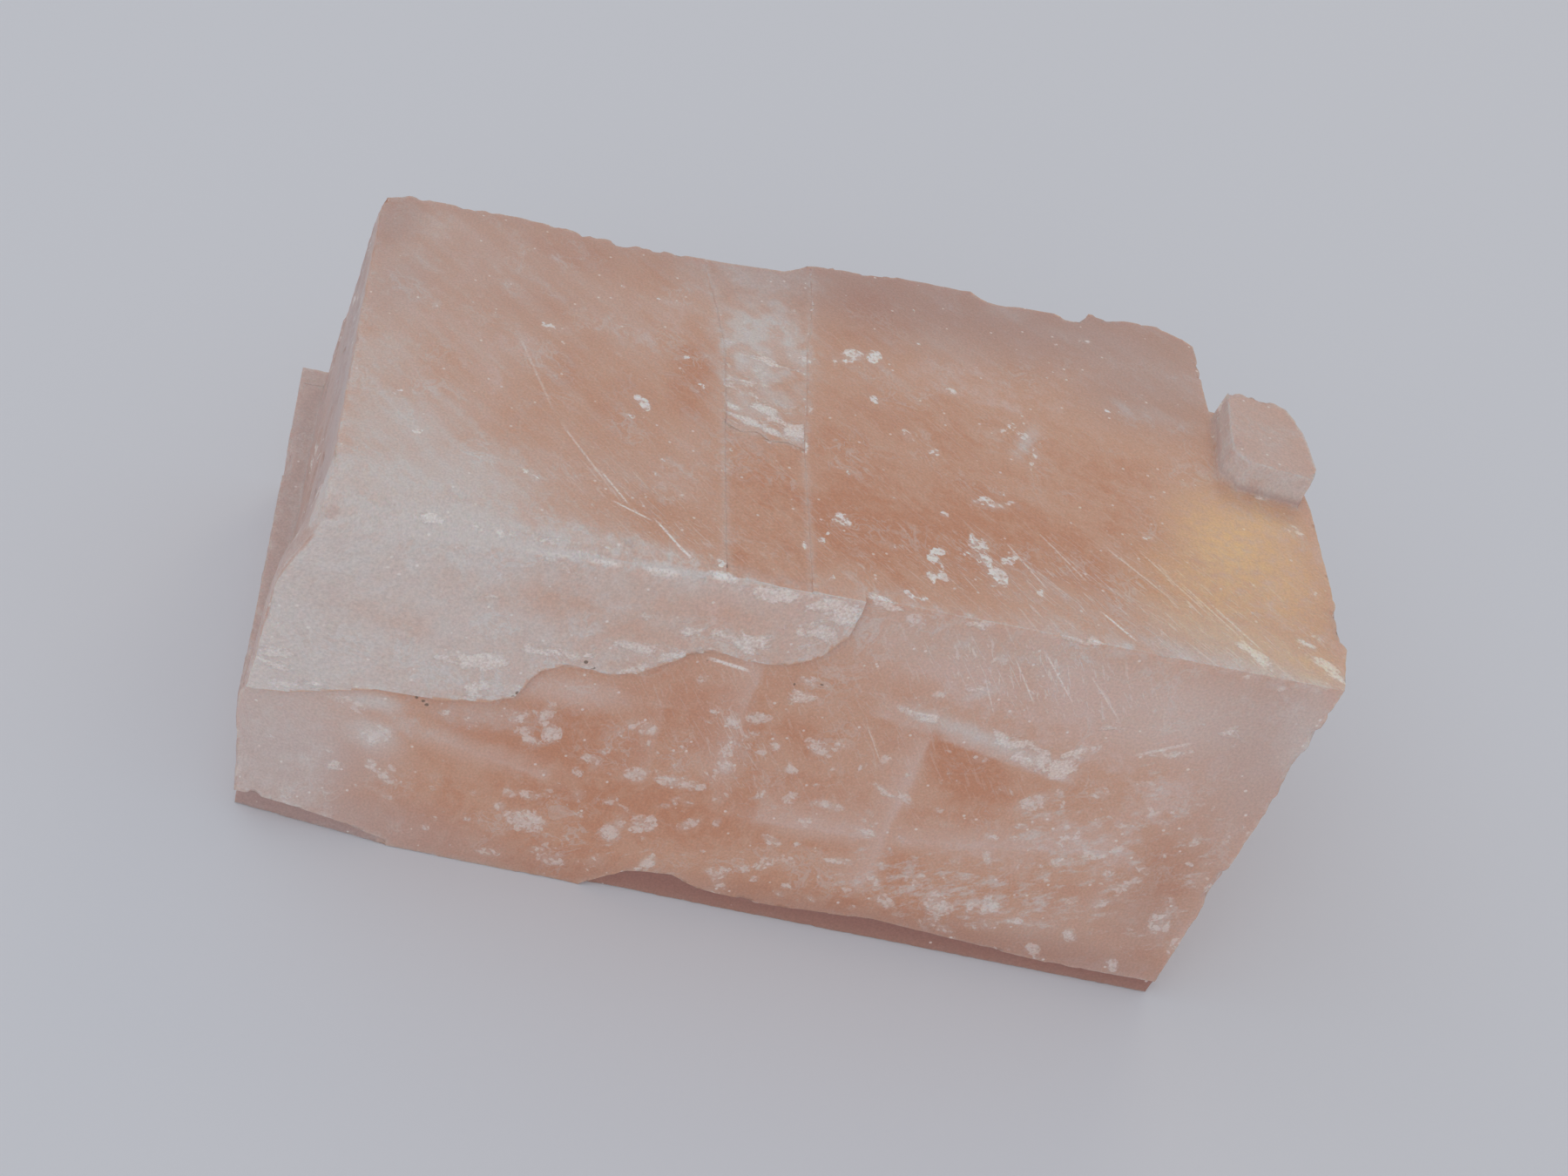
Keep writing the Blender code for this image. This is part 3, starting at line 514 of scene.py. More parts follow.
def marks_at(marks, along, down, shown, core=0.35):
    """How strongly these oval marks cover each point: full in the core, fading to 0 at the rim."""
    flat_along = along + SLANT * down
    flat_down = ACROSS * down
    cover = np.zeros(len(along))
    for a, w, length, width, turn, strength in marks:
        x = flat_along - (a + SLANT * w)
        y = flat_down - ACROSS * w
        reach = 2.2 * length + width
        near = shown & (np.abs(x) < reach) & (np.abs(y) < reach)
        if not near.any():
            continue
        tilt = radians(turn)
        u = (x[near] * cos(tilt) + y[near] * sin(tilt)) / length
        v = (y[near] * cos(tilt) - x[near] * sin(tilt)) / width
        fade = fading(core, MARK_RIM, np.sqrt(u * u + v * v))
        cover[near] = np.maximum(cover[near], strength * fade)
    return cover


def sheets_at(sheets, along, down, shown):
    """How strongly flat veils inside the crystal cover each point: sharp on one side only."""
    x = along + SLANT * down
    y = ACROSS * down
    cover = np.zeros(len(along))
    for a0, w0, a1, w1, fade, strength in sheets:
        start = np.array((a0 + SLANT * w0, ACROSS * w0))
        end = np.array((a1 + SLANT * w1, ACROSS * w1))
        length = np.linalg.norm(end - start)
        run = (end - start) / length
        travel = (x - start[0]) * run[0] + (y - start[1]) * run[1]
        aside = (x - start[0]) * run[1] - (y - start[1]) * run[0]
        edge = smooth_between(0.0, 0.22, aside) * np.exp(-np.clip(aside, 0.0, 40.0) / fade)
        ends = smooth_between(-0.3, 0.8, travel) * fading(length - 0.8, length + 0.3, travel)
        cover = np.maximum(cover, strength * edge * ends * shown)
    return cover


def stray_flecks(count, high, seed):
    """Small flecks strewn evenly over a face that is high mm across."""
    strewn = np.random.default_rng(seed)
    marks = []
    for _ in range(count):
        size = 0.10 + 0.32 * strewn.random() ** 3
        marks.append(
            (
                strewn.uniform(-2.0, LENGTH + 3.0),
                strewn.uniform(0.0, high),
                size * strewn.uniform(1.0, 2.2),
                size,
                strewn.uniform(-60.0, 40.0),
                strewn.uniform(0.35, 0.95),
            )
        )
    return marks


class RhombSurface:
    """The crystal's mesh as arrays: where each point is, which way it faces and what lies near it."""

    def __init__(self, rhomb):
        layers = to_layers()
        self.verts = rhomb.verts[:]
        self.spots = np.array([vert.co for vert in self.verts]) / MM
        self.normals = np.array([vert.normal for vert in self.verts])
        self.places = np.array([layers @ vert.co for vert in self.verts])
        self.a, self.b, self.c = self.places.T
        self.up, self.base = self.facing(FACE_UP)
        self.front, self.back = self.facing(FACE_FRONT)
        self.ends = 1.0 - np.maximum.reduce([self.up, self.front, self.base, self.back])
        low, mid = noise_field(self.spots, 0.13, 31), noise_field(self.spots, 0.5, 32)
        self.rungs = 0.05 * self.a + 0.08 * self.b + 0.24 * self.c + 1.3 * low + 0.3 * mid
        self.measure_edges(rhomb)

    def facing(self, way):
        """How far each point, from 0 to 1, faces this way and how far it faces the other way."""
        lean = self.normals @ np.array(way)
        return smooth_between(*FACING, lean), smooth_between(*FACING, -lean)

    def within(self, a=ANYWHERE, b=ANYWHERE, c=ANYWHERE):
        """Which points lie between these bounds, in mm along the cleavage directions."""
        inside = np.ones(len(self.verts), bool)
        for values, (low, high) in zip((self.a, self.b, self.c), (a, b, c)):
            inside &= (values > low) & (values < high)
        return inside

    def measure_edges(self, rhomb):
        """The distances to the nearest outer and inner edge, and where that outer edge is."""
        outer = set()
        inner = set()
        for edge in rhomb.edges:
            bend = edge.calc_face_angle_signed(0.0)
            if abs(bend) > EDGE_BEND:
                (outer if bend > 0.0 else inner).update(vert.index for vert in edge.verts)
        self.to_outer, nearest = self.distances(outer)
        self.to_inner, _ = self.distances(inner)
        self.edge_normals = self.normals[nearest]
        self.edge_spots = self.spots[nearest]
        # Edges beside an inner corner, and the low walls of the window and the strip, wear less.
        self.edge_slack = np.clip(self.to_inner[nearest] / 0.8, 0.12, 1.0)
        shallow = self.within(a=(19.5, 28.0), b=(0.6, 29.0), c=(-0.05, 0.6))
        self.edge_slack[shallow[nearest]] *= 0.1

    def distances(self, chosen):
        """For each point, the distance to the nearest chosen one, and which one that is."""
        tree = kdtree.KDTree(len(chosen))
        for index in chosen:
            tree.insert(self.spots[index], index)
        tree.balance()
        found = [tree.find(spot) for spot in self.spots]
        return np.array([item[2] for item in found]), np.array([item[1] for item in found])


def name_places(s):
    """Which points belong to each named part of the surface."""
    upper = (s.normals @ np.array(FACE_UP) > 0.6) & s.within(c=(-0.5, 1.5))
    front = (s.normals @ np.array(FACE_FRONT) > 0.6) & (s.b < 0.2)
    lamina = front & (s.b < -0.17)
    block = s.c < -0.12
    ends = s.ends > 0.5
    window_left = np.interp(s.b, (10.8, 22.6, 30.0), (21.2, 21.0, 20.3))
    window_right = np.interp(s.b, (10.8, 20.0, 30.0), (25.5, 26.3, 27.2))
    window = upper & (s.b > 10.6) & (s.a > window_left) & (s.a < window_right)
    left_wall = s.within(a=(-FAR, 1.5), c=(0.3, 12.7)) & (s.front < 0.5) & (s.up < 0.5)
    return SimpleNamespace(
        upper=upper,
        front=front,
        lamina=lamina,  # the outer skin that is left on the front face
        bare=front & ~lamina,
        block=block,  # the remnant that stands on the upper face
        ends=ends,
        broken=ends & (s.a > 40.0) & (s.c > 0.4) & ~block,
        hidden_back=s.back > 0.5,
        hidden_base=s.base > 0.5,
        hidden=(s.back > 0.5) | (s.base > 0.5),
        window=window & ((s.c > 0.02) | (s.b > 15.0)),
        strip=upper & s.within(a=(20.0, 26.2), b=(-FAR, 12.0), c=(0.05, 0.25)),
        right_foot=s.within(a=(19.0, FAR), b=(0.15, 1.2), c=(FOOT_TOP, FAR)) & (s.base < 0.5),
        left_foot=s.within(a=(-FAR, 9.2), b=(0.1, 1.2), c=(FOOT_TOP, FAR)) & (s.base < 0.5),
        ledge=s.within(a=(-FAR, 1.0), c=(12.0, FAR)) & (s.front < 0.5),
        left_wall=left_wall,
        post=left_wall & (s.b < 4.0),
        corner=s.within(a=(-FAR, 2.0), b=(-FAR, 3.2), c=(-FAR, 2.4)),
        beside=front & ~lamina & s.within(a=(-FAR, 1.2), c=(-FAR, 13.0)),
    )


def paint_flecks(s, on):
    """White flecks: the ones with a place of their own, and strewn ones."""
    low_front = on.bare & (s.a > 14.0) & (s.c > 8.0)
    covers = [
        marks_at(UPPER_FLECKS, s.a, s.b, on.upper & ~on.window),
        marks_at(FRONT_FLECKS, s.a, s.c, on.front),
    ]
    for count, high, seed, along, down, shown, strength in (
        (80, 29.0, 3, s.a, s.b, on.upper & (s.a > 14.0), 0.7),
        (260, 21.0, 4, s.a, s.c, on.bare & (s.a < 49.5), 0.7),
        (420, 21.0, 9, s.a, s.c, low_front, 0.92),
        (220, 21.0, 5, s.a, s.c, on.hidden_back, 1.0),
        (260, 29.0, 6, s.a, s.b, on.hidden_base, 1.0),
        (160, 22.0, 7, s.b * 1.7, s.c, on.ends, 0.9),
    ):
        covers.append(marks_at(stray_flecks(count, high, seed), along, down, shown) * strength)
    return np.maximum.reduce(covers)


def paint_frost(s, on, low, mid, icy):
    """The grey-white frosting: veils on the shown faces, and an even coat on the worn ones."""
    frost = marks_at(UPPER_VEILS, s.a, s.b, on.upper, core=0.1)
    coat = 0.50 + 0.36 * fading(-1.0, 25.0, s.a) + 0.12 * mid
    frost[on.lamina] = np.maximum(frost, coat)[on.lamina]
    frost = frost - 0.28 * marks_at(LAMINA_PINK, s.a, s.c, on.lamina, core=0.1)
    frost = np.maximum(frost, marks_at(FRONT_FROST, s.a, s.c, on.bare, core=0.1))
    crest = on.upper & (s.b < 1.6)
    frost[crest] += (0.30 * fading(0.2, 1.6, s.b) * smooth_between(2.0, 8.0, s.a))[crest]
    left = on.bare & (s.a < 8.0)
    frost[left] = np.maximum(frost, 0.5 * fading(3.0, 7.5, s.a))[left]
    frost = np.maximum(frost, 0.7 * icy)
    web = noise_field(s.spots, 0.95, 31)
    haze = marks_at(WINDOW_HAZE, s.a, s.b, on.upper, core=0.2)
    torn = np.where(on.window, 1.15 - 0.5 * smooth_between(-0.2, 0.3, web), 0.9)
    frost = np.maximum(frost, haze * torn)
    frost = np.where(on.hidden, np.maximum(frost, 0.3 + 0.5 * low), frost)
    frost = np.where(on.block, np.where(s.up < 0.5, 0.68 + 0.3 * mid, 0.3), frost)
    frost = np.where(on.left_wall, 0.12 + 0.4 * fading(0.5, 2.5, s.c), frost)
    frost = np.where(on.broken, 0.25 + 0.4 * mid, frost)
    for part, value in ((on.post, 0.3), (on.corner, 0.8), (on.ledge, 0.2), (on.beside, 0.55)):
        frost[part] = value
    return frost


def paint_crush(s, on, icy):
    """Crushed white streaks, and the rims of the steps on the ends and the back."""
    crush = marks_at(FRONT_CRUSH, s.a, s.c, on.front, core=0.3)
    crush = np.maximum(crush, marks_at(LAMINA_CRUSH, s.a, s.c, on.lamina, core=0.3))
    ridge = s.within(a=(-FAR, 42.0), b=(-FAR, 1.5), c=(-FAR, 2.5))
    crush = np.maximum(crush, marks_at(RIDGE_CRUSH, s.a, s.c - s.b, ridge, core=0.3))
    rim = on.lamina & (s.to_outer < 0.45) & (s.c > 1.5) & (s.a > 9.0)
    crush[rim] = np.maximum(crush[rim], 0.45)
    crush[on.window] = np.maximum(icy, 0.42 * fading(15.0, 24.0, s.b))[on.window]
    rims = fading(0.0, 0.14, np.abs(s.rungs - np.round(s.rungs)))
    rims *= smooth_between(-0.1, 0.35, noise_field(s.spots, 0.33, 21))
    return np.maximum(crush, np.where(on.ends | on.hidden_back, 0.7 * rims, 0.0))


def paint_depths(s, on, mid):
    """Pale veils and ember inside the crystal."""
    veil = marks_at(FRONT_VEILS, s.a, s.c, on.front, core=0.1)
    veil = np.maximum(veil, sheets_at(FRONT_SHEETS, s.a, s.c, on.bare))
    veil[on.block] = 0.3
    ember = marks_at(UPPER_ORANGE, s.a, s.b, on.upper, core=0.1)
    ember = np.maximum(ember, marks_at(FRONT_ORANGE, s.a, s.c, on.front, core=0.1))
    ember[on.strip] = np.maximum(ember[on.strip], 0.45)
    ember = np.where(on.hidden, np.maximum(ember, 0.3 + 0.5 * mid), ember)
    return veil, np.where(on.ends & ~on.block, 0.25 + 0.5 * mid, ember)


def paint_shades(s, on, low):
    """The deep colour and painted shade of the set-back faces and the shaded rims, and the dull ones with
    painted shade on the left end.
    """
    margin = marks_at(BACK_MARGIN, s.a, s.b, on.upper, core=0.3)
    # Painted shade: the foot under the front's overhang is the deep clean colour darkened by shade,
    # lighter towards the paper.
    umber_and_shade = np.where(on.right_foot, 1.0 - 0.3 * smooth_between(20.8, 22.6, s.c), 0.0)
    umber_and_shade[on.left_foot] = 0.45
    umber_and_shade = np.maximum(umber_and_shade, 0.5 * margin)
    # A painted shadow line along the foot of the block.
    umber_and_shade = np.where(on.block, 0.10 + 0.4 * smooth_between(-0.65, -0.2, s.c), umber_and_shade)
    umber_and_shade = np.maximum(umber_and_shade, marks_at(FRONT_SHADE, s.a, s.c, on.front, core=0.1))
    for part, value in ((on.left_wall, 0.14), (on.post, 0.05), (on.corner, 0.0), (on.beside, 0.04)):
        umber_and_shade[part] = value

    # Painted shade: the ledge, the left wall and the left foot are painted dull mauve where shade falls;
    # the broken right end is duller.
    dull_and_shaded = np.where(on.ledge, 0.8, np.where(on.broken, 0.45 + 0.4 * low, 0.0))
    dull_and_shaded = np.where(on.left_wall, 0.7 + 0.4 * low, dull_and_shaded)
    dull_and_shaded[on.post] = 0.65
    dull_and_shaded[on.corner] = 0.1
    dull_and_shaded = np.maximum(dull_and_shaded, 0.6 * margin)
    dull_and_shaded = np.maximum(dull_and_shaded, marks_at(UPPER_MAUVE, s.a, s.b, on.upper, core=0.2))
    dull_and_shaded = np.maximum(dull_and_shaded, marks_at(FRONT_MAUVE, s.a, s.c, on.front, core=0.2))
    dull_and_shaded = np.where(on.lamina, 0.4 * fading(0.3, 4.5, s.a - 0.18 * s.c), dull_and_shaded)
    for part, value in ((on.left_foot, 1.0), (on.block, 0.25), (on.beside, 0.6)):
        dull_and_shaded[part] = value
    return umber_and_shade, dull_and_shaded


def paint_marks(s):
    """What the marks put on each point of the surface, as three sets of four values from 0 to 1."""
    on = name_places(s)
    low = noise_field(s.spots, 0.16, 1)
    mid = noise_field(s.spots, 0.55, 2)
    icy = marks_at(WINDOW_CRUSH, s.a, s.b, on.window, core=0.3)
    veil, ember = paint_depths(s, on, mid)
    umber_and_shade, dull_and_shaded = paint_shades(s, on, low)
    # Painted sheen: where the reflection of warm light is painted into the colour.
    painted_gold_sheen = marks_at(GOLD_SHEEN_PAINTED, s.a, s.b, on.upper & ~on.block, core=0.1)
    scratch = marks_at(SCRATCHED, s.a, s.b, on.upper, core=0.2)
    streaks = marks_at(STREAKED, s.a, s.c, on.front, core=0.2)
    dirt = marks_at(DIRT_UPPER, s.a, s.b, on.upper | on.front & (s.c < 1.0))
    dirt = np.maximum(dirt, marks_at(DIRT_FRONT, s.a, s.c, on.front))
    dirt = np.maximum(dirt, marks_at(stray_flecks(60, 21.0, 8), s.a, s.c, on.hidden_back) * 0.9)
    dashed = marks_at(FRONT_DASHES, s.a, s.c, on.bare, core=0.2)
    plain = on.hidden | on.ends & ~on.block
    dashed = np.maximum(dashed, np.where(plain, 0.35 + 0.4 * low, 0.0))
    inside = (paint_flecks(s, on), paint_frost(s, on, low, mid, icy), veil, ember)
    sheen_shade_and_scratches = (painted_gold_sheen, umber_and_shade, scratch, streaks)
    other = (paint_crush(s, on, icy), dirt, dull_and_shaded, dashed)
    return [np.clip(np.stack(marks, axis=1), 0.0, 1.0) for marks in (inside, sheen_shade_and_scratches, other)]


def face_heights(s, fleck, frost, sizes):
    """How far each point is raised: swelling faces, steps on the broken ends, raised flecks."""
    low = noise_field(s.spots, 0.13, 11)
    mid = noise_field(s.spots, 0.45, 12)
    fine = noise_field(s.spots, 1.9, 13)
    tiny = noise_field(s.spots, 4.5, 14)
    height = sizes.face_relief / MM * (0.9 * low + 0.35 * mid + 0.18 * fine)
    height *= 0.5 + 0.5 * s.front + 0.9 * s.back + 0.4 * s.ends
    height += fleck * (0.035 + 0.05 * tiny)
    height += 0.02 * frost * s.front * fine
    terraces = sizes.break_step / MM * (np.floor(s.rungs) - s.rungs + 0.5)
    height += s.ends * (terraces + 0.045 * fine + 0.02 * tiny)
    height += s.back * 0.4 * terraces
    height *= 0.35 + 0.65 * smooth_between(0.0, 0.5, np.minimum(s.to_outer, s.to_inner))
    return np.where(s.base > 0.5, -np.abs(height), height)


def edge_losses(s, sizes):
    """How far each point is worn back towards the inside, along the nearest outer edge's normal."""
    along = noise_field(s.edge_spots, 0.32, 15) + 0.7 * noise_field(s.edge_spots, 0.95, 18)
    rough = noise_field(s.edge_spots, 2.1, 16)
    wear = sizes.edge_wear / MM * (0.8 + 0.5 * rough)
    chips = sizes.edge_chips / MM * np.clip(1.5 * along + 0.35 * rough - 0.2, 0.0, 1.2)
    chips *= smooth_between(0.3, 1.5, s.edge_spots[:, 2])
    worn = s.edge_slack * (np.clip(wear, 0.0, 1.0) + chips)
    return worn * fading(0.0, 0.8, s.to_outer) ** 2


def shape_surface(s, marks, sizes):
    """Moves the points: uneven faces, worn edges, a shallower window and a leaning left post."""
    height = face_heights(s, marks[0][:, 0], marks[0][:, 1], sizes)
    # Points in the window and the strip move straight up, so that their low walls don't fold.
    level = s.within(a=(19.3, 28.2), b=(0.3, 28.5), c=(-0.05, 0.5))
    facing = np.where(level[:, None], np.array(FACE_UP), s.normals)
    moved = s.spots + facing * height[:, None] - s.edge_normals * edge_losses(s, sizes)[:, None]
    post = smooth_between(0.5, 6.5, s.c) * fading(13.0, 17.0, s.c) * fading(0.3, 5.0, s.b)
    moved[:, 0] += post * np.interp(s.a, (-1.38, -0.25, 0.75, 7.0), (0.0, -1.05, -1.85, 0.0))
    sunk = s.within(a=(19.5, 28.0), b=(0.6, 29.4), c=(0.03, 0.5))
    moved[:, 2] += np.where(sunk, np.minimum(0.75 * s.c, 0.235), 0.0)
    moved[:, 2] = np.maximum(moved[:, 2], 0.0)
    for vert, spot in zip(s.verts, moved):
        vert.co = Vector(spot) * MM


def keep_on_mesh(mesh, name, values):
    """Stores one colour for each point, which the material reads."""
    layer = mesh.color_attributes.new(name, "FLOAT_COLOR", "POINT")
    layer.data.foreach_set("color", values.astype(np.float32).ravel())


def keep_places(mesh, surface):
    """Stores each point's cleavage coordinates, in mm, and how near it is to the faces and edges."""
    layer = mesh.attributes.new("layers", "FLOAT_VECTOR", "POINT")
    layer.data.foreach_set("vector", surface.places.astype(np.float32).ravel())
    edge = fading(0.0, 0.55, surface.to_outer)
    step = fading(0.0, 0.35, surface.to_inner)
    keep_on_mesh(mesh, "sides", np.stack([surface.up, surface.front, edge, step], axis=1))


# ---------------------------------------------------------------- the crystal's material


def add_node(tree, kind, **values):
    """Adds a shader node and sets its properties."""
    node = tree.nodes.new(kind)
    for name, value in values.items():
        setattr(node, name, value)
    return node


def feed(tree, node, **sources):
    """Links or sets a node's inputs by number, as i0, i1 and so on."""
    for name, source in sources.items():
        socket = node.inputs[int(name[1:])]
        if isinstance(source, bpy.types.NodeSocket):
            tree.links.new(source, socket)
        else:
            socket.default_value = source
    return node


def lay_out(tree):
    """Places each node one column to the right of the last of the nodes that feed it."""
    feeders = {node.name: [] for node in tree.nodes}
    for link in tree.links:
        feeders[link.to_node.name].append(link.from_node.name)

    @cache
    def column(name):
        return 1 + max(map(column, feeders[name]), default=-1)

    filled = Counter()
    for node in tree.nodes:
        across = column(node.name)
        node.location = (across * 190.0, filled[across] * -170.0)
        filled[across] += 1


def reckon(tree, operation, first, second=0.0, third=0.0, clamp=False):
    """A Math node's result."""
    node = add_node(tree, "ShaderNodeMath", operation=operation, use_clamp=clamp)
    return feed(tree, node, i0=first, i1=second, i2=third).outputs[0]


def times(tree, first, second, clamp=False):
    """The product of two values."""
    return reckon(tree, "MULTIPLY", first, second, clamp=clamp)


def weighed(tree, value, weight, rest=0.0, clamp=False):
    """The value times the weight, plus the rest."""
    return reckon(tree, "MULTIPLY_ADD", value, weight, rest, clamp)


def greatest(tree, first, second):
    """The greater of two values."""
    return reckon(tree, "MAXIMUM", first, second)


def vector_math(tree, operation, **sources):
    """A Vector Math node's vector."""
    node = add_node(tree, "ShaderNodeVectorMath", operation=operation)
    return feed(tree, node, **sources).outputs[0]


def rise(tree, value, low, high):
    """0 below low, 1 above high and a smooth rise between them."""
    node = add_node(tree, "ShaderNodeMapRange", interpolation_type="SMOOTHSTEP")
    return feed(tree, node, i0=value, i1=low, i2=high, i3=0.0, i4=1.0).outputs[0]


def opaque(colour):
    """A colour that is a socket as it is, and any other with full alpha."""
    return colour if isinstance(colour, bpy.types.NodeSocket) else (*colour, 1.0)


def mixed(tree, amount, under, over, kind="MIX"):
    """One colour laid over another."""
    node = add_node(tree, "ShaderNodeMix", data_type="RGBA", blend_type=kind)
    return feed(tree, node, i0=amount, i6=opaque(under), i7=opaque(over)).outputs[2]


def set_inputs(shader, values):
    """Sets a node's inputs by their names."""
    for name, value in values.items():
        shader.inputs[name].default_value = value


def cloud(tree, vector, scale, detail, roughness=0.55, output=0):
    """Noise from about 0.2 to 0.8 with features of about 1 / scale mm, or its colour as output 1."""
    node = add_node(tree, "ShaderNodeTexNoise")
    set_inputs(node, {"Scale": scale, "Detail": detail, "Roughness": roughness})
    tree.links.new(vector, node.inputs["Vector"])
    return node.outputs[output]


def stretched(tree, vector, turn, size):
    """The coordinates turned and then shrunk, so that noise of scale 1 has features of this size."""
    node = add_node(tree, "ShaderNodeMapping", vector_type="TEXTURE")
    return feed(tree, node, i0=vector, i2=turn, i3=size).outputs[0]


def cells(tree, vector, scale, distance="EUCLIDEAN"):
    """Voronoi cells of about 1 / scale mm: the distance to each one's middle, and its own colour."""
    node = add_node(tree, "ShaderNodeTexVoronoi", distance=distance)
    node.inputs["Scale"].default_value = scale
    tree.links.new(vector, node.inputs["Vector"])
    return node.outputs["Distance"], node.outputs["Color"]


def parts_of(tree, colour):
    """A colour's three values."""
    return feed(tree, add_node(tree, "ShaderNodeSeparateColor"), i0=colour).outputs


def new_group(name, inputs, outputs):
    """An empty node group with these sockets, and its input and output nodes."""
    group = bpy.data.node_groups.new(name, "ShaderNodeTree")
    for label, kind in inputs:
        group.interface.new_socket(label, in_out="INPUT", socket_type="NodeSocket" + kind)
    for label in outputs:
        group.interface.new_socket(label, in_out="OUTPUT", socket_type="NodeSocketFloat")
    given = add_node(group, "NodeGroupInput")
    result = add_node(group, "NodeGroupOutput")
    return group, given.outputs, result.inputs


def fleck_group():
    """Breaks a smooth density into angular shards, some whiter than others, with a soft halo."""
    group, given, result = new_group(
        "Angular Flecks", [("Layers", "Vector"), ("Density", "Float")], ["Flecks", "Halo"]
    )
    layers, density = given[0], given[1]
    found = []
    for turn, size, seed in (
        ((0.0, 0.5, -0.6), (0.7, 0.3, 0.34), 0.0),
        ((0.0, -0.5, 0.5), (0.5, 0.22, 0.2), 9.0),
    ):
        place = stretched(group, layers, turn, size)
        place = vector_math(group, "ADD", i0=place, i1=(seed, seed, seed))
        _, chances = cells(group, place, 1.0, "CHEBYCHEV")
        chances = parts_of(group, chances)
        shard = weighed(group, chances[0], 0.98, density)
        shard = rise(group, shard, 1.15, 1.30)
        white = weighed(group, chances[1], 0.45, 0.6)
        found.append(times(group, shard, white))
    ragged = rise(group, cloud(group, layers, 3.5, 2.0, 0.6), 0.30, 0.52)
    both = times(group, greatest(group, *found), ragged)
    group.links.new(both, result[0])
    group.links.new(rise(group, density, 0.1, 1.0), result[1])
    lay_out(group)
    return group


def scratch_group():
    """Draws fine, broken scratches that run nearly the same way across a face."""
    group, given, result = new_group(
        "Fine Scratches",
        [("Layers", "Vector"), ("Turn", "Vector"), ("Amount", "Float")],
        ["Scratches"],
    )
    most = 0.0
    turned = stretched(group, given[0], given[1], (1.0, 1.0, 1.0))
    # Each kind of scratch: its turn in radians, its length and width in mm, and how rare it is.
    for turn, along, across, rare in (
        (0.0, 3.5, 0.13, 0.64),
        (0.12, 2.0, 0.09, 0.645),
        (-0.14, 6.0, 0.2, 0.65),
        (0.35, 2.5, 0.1, 0.68),
    ):
        lines = stretched(group, turned, (0.0, turn, turn), (along, across, across))
        thin = rise(group, cloud(group, lines, 1.0, 1.0), rare, rare + 0.05)
        most = greatest(group, thin, most)
    group.links.new(times(group, most, given[2], clamp=True), result[0])
    lay_out(group)
    return group


def single_scratch_group():
    """Draws one thin scratch, which fades out at its ends, on the flat face that z = 0 stands for."""
    vectors = [(name, "Vector") for name in ("Flat", "Place", "Turn", "Size")]
    group, given, result = new_group(
        "Single Scratch", [*vectors, ("Strength", "Float")], ["Scratch"]
    )
    node = add_node(group, "ShaderNodeMapping", vector_type="TEXTURE")
    feed(group, node, i0=given[0], i1=given[1], i2=given[2], i3=given[3])
    parts = feed(group, add_node(group, "ShaderNodeSeparateXYZ"), i0=node.outputs[0]).outputs
    mask = given[4]
    for part, full in zip(parts, (0.5, 0.25, 0.6)):
        away = reckon(group, "ABSOLUTE", part)
        mask = times(group, mask, rise(group, away, 1.0, full))
    group.links.new(mask, result[0])
    lay_out(group)
    return group


def wisp_group():
    """Draws thin curling wisps: the ridges of a warped cloud."""
    group, given, result = new_group("Wisps", [("Layers", "Vector"), ("Amount", "Float")], ["Wisps"])
    found = []
    for size, width in (((5.0, 2.0, 2.2), 0.03), ((1.6, 0.7, 0.8), 0.045)):
        lines = stretched(group, given[0], CLOUD_TURN, size)
        node = cloud(group, lines, 1.0, 3.0, 0.6)
        off = reckon(group, "ABSOLUTE", reckon(group, "SUBTRACT", node, 0.52))
        found.append(rise(group, off, width, 0.0))
    patchy = rise(group, cloud(group, given[0], 0.3, 2.0), 0.48, 0.68)
    both = times(group, greatest(group, *found), patchy)
    group.links.new(times(group, both, given[1]), result[0])
    lay_out(group)
    return group


def flat_vector(tree, along, down, off):
    """A face's own square coordinates in mm, from the slanting layer coordinates."""
    node = add_node(tree, "ShaderNodeCombineXYZ")
    x = weighed(tree, down, SLANT, along)
    y = times(tree, down, ACROSS)
    return feed(tree, node, i0=x, i1=y, i2=off).outputs[0]


def place_group(tree, group, **sources):
    """The outputs of one use of a node group."""
    node = add_node(tree, "ShaderNodeGroup", node_tree=group)
    return feed(tree, node, **sources).outputs


def single_scratches(tree, layers):
    """The strongest at each point of the scratches that have a place of their own."""
    parts = add_node(tree, "ShaderNodeSeparateXYZ")
    a, b, c = feed(tree, parts, i0=layers).outputs
    single = single_scratch_group()
    longest = 0.0
    for rows, flat in (
        (UPPER_SCRATCHES, flat_vector(tree, a, b, c)),
        (FRONT_SCRATCHES, flat_vector(tree, a, c, b)),
    ):
        for along, down, length, width, turn, strength in rows:
            one = place_group(
                tree,
                single,
                i0=flat,
                i1=(along + SLANT * down, ACROSS * down, 0.0),
                i2=(0.0, 0.0, radians(turn)),
                i3=(length, width, 1.0),
                i4=strength,
            )[0]
            longest = greatest(tree, one, longest)
    return longest


def read_marks(tree, name):
    """The four values that the mesh stores for each point under this name."""
    stored = add_node(tree, "ShaderNodeAttribute", attribute_name=name)
    parts = parts_of(tree, stored.outputs["Color"])
    return (*parts, stored.outputs["Alpha"])


